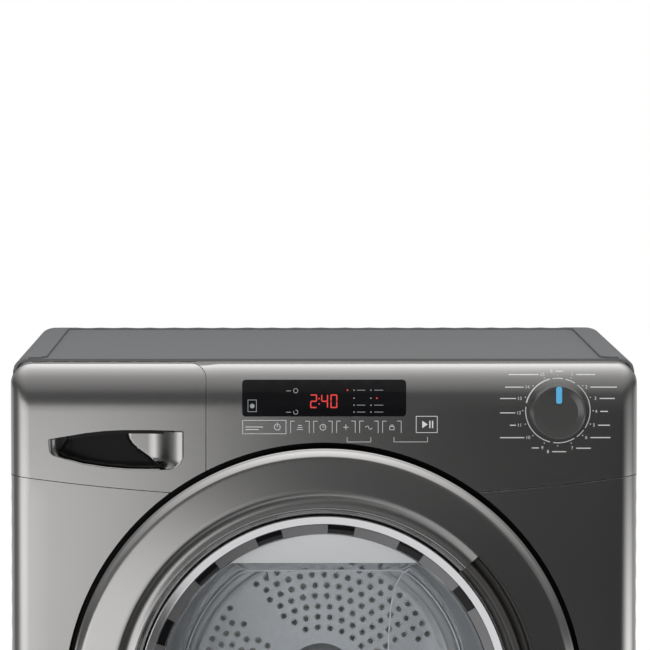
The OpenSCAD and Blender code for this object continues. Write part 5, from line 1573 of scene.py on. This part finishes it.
def worktop_form(u, v):
    """A point of the worktop's rim: u across and v to the rear, both rolling over the edge and down."""
    past = abs(u) - (HALF_W - WORKTOP_EDGE)
    turn = min(max(past, 0) / WORKTOP_EDGE, pi / 2)
    x = abs(u) if past <= 0 else HALF_W - WORKTOP_EDGE + WORKTOP_EDGE * sin(turn)
    drop = WORKTOP_EDGE * (1 - cos(turn)) + max(0.0, past - W_SIDE)
    back = v - (WORKTOP_END - REAR_EDGE)
    lean = min(max(back, 0) / REAR_EDGE, pi / 2)
    depth = v if back <= 0 else WORKTOP_END - REAR_EDGE + REAR_EDGE * sin(lean)
    fall = REAR_EDGE * (1 - cos(lean)) + max(0.0, back - W_REAR)
    low = max(math.hypot(min(drop, WORKTOP_EDGE), min(fall, REAR_EDGE)), drop, fall)
    r = REAR_CORNER
    p, q = (x - (HALF_W - r)) / r, (depth - (WORKTOP_END - r)) / r
    if p > 0 and q > 0:
        x = HALF_W - r + r * p * sqrt(1 - q * q / 2)
        depth = WORKTOP_END - r + r * q * sqrt(1 - p * p / 2)
    return math.copysign(x, u), depth, TOP - min(low, WORKTOP_DROP)


def board_shape(gap):
    """The board seen from above: a plate between the rails that widens at the front."""
    x_in, d0, d1 = HALF_W - 30 - gap, FASCIA_END + 0.6, WORKTOP_END - 15 - gap
    start, r = 78 - gap, 20
    side = arc(x_in + r, start + r, r, 270, 180, 10)
    right = [(HALF_W - 14, d0 + 0.4), (HALF_W - 14, start)] + side
    right += [(x_in, d1 - 6), (x_in - 2, d1 - 2), (x_in - 6, d1)]
    return right + [(-x, d) for x, d in reversed(right)]


def worktop_rails():
    """The worktop's rim, rolled down at both sides and the rear."""
    u_in, v_in, v0 = HALF_W - WORKTOP_EDGE + W_SIDE, WORKTOP_END - REAR_EDGE + W_REAR, FASCIA_END + 0.7
    u_out, v_out = u_in + 12, v_in + 18
    outline = [(-u_out, v0), (u_out, v0), (u_out, v_in), (u_in, v_in), (u_in, v_out),
               (-u_in, v_out), (-u_in, v_in), (-u_out, v_in)]
    side = [HALF_W - WORKTOP_EDGE + WORKTOP_EDGE * radians(a) for a in range(0, 91, 9)] + [HALF_W - 24, HALF_W - 18]
    lines_u = sorted(set([s * u for u in side for s in (-1, 1)] + frange(-260, 260, 26)))
    rear = [WORKTOP_END - REAR_EDGE + REAR_EDGE * radians(a) for a in range(0, 91, 15)]
    lines_v = frange(FASCIA_END + 8, WORKTOP_END - 30, 26) + frange(WORKTOP_END - 26, WORKTOP_END - 7, 4) + rear
    made = sheet("worktop_rails", outline, [board_shape(-0.15)], lines_u, lines_v, worktop_form,
                 FINISHES["worktop_grey"], 6)
    thick(facing(made, UPWARD), 3)
    soft_edges(made, 0.5)
    settle(made, "cabinet", ["worktop_frame"])


def worktop_plate():
    """The flat board between the rails."""
    loop = fine(board_shape(0.3), 30)
    verts = [at(x, d, TOP - drop) for drop in (2, 13.5) for x, d in loop]
    n = len(loop)
    faces = [tuple(range(n)), tuple(reversed(range(n, 2 * n)))]
    faces += [(k, n + k, n + (k + 1) % n, (k + 1) % n) for k in range(n)]
    made = shaded(tidy(new_piece("worktop_plate", verts, faces, FINISHES["worktop_grey"])), False)
    soft_edges(made, 0.8)
    settle(made, "cabinet", ["worktop_board"])


# ---- Carried-over pieces ----


def carried_over():
    """Every CAD part that stays visible takes its slot's finish."""
    for made in frame["nodes"].values():
        for place in made.material_slots:
            name = place.material.name.split(".")[0]
            if name in FINISHES:
                place.material = FINISHES[name]


bpy.context.scene.view_settings.view_transform = "Standard"
STUDIO = (camera, floor, cards, world, lamps)
CABINET_FRONT = (fascia, drawer_front, finger_pocket, finger_lip, front_skin, door_recess)
CONTROLS = (display_glass, red_digits, grey_icons, touch_keys, dial_ring, dial_dots, dial_labels, selector, pointer)
DOOR = (bezel, grip, window, bowl_beads, glass_rim, glass_clips)
DRUM_AND_TOP = (drum_back, drum_wall, paddles, worktop_rails, worktop_plate)
for make in STUDIO + (carried_over,) + CABINET_FRONT + CONTROLS + DOOR + DRUM_AND_TOP:
    make()
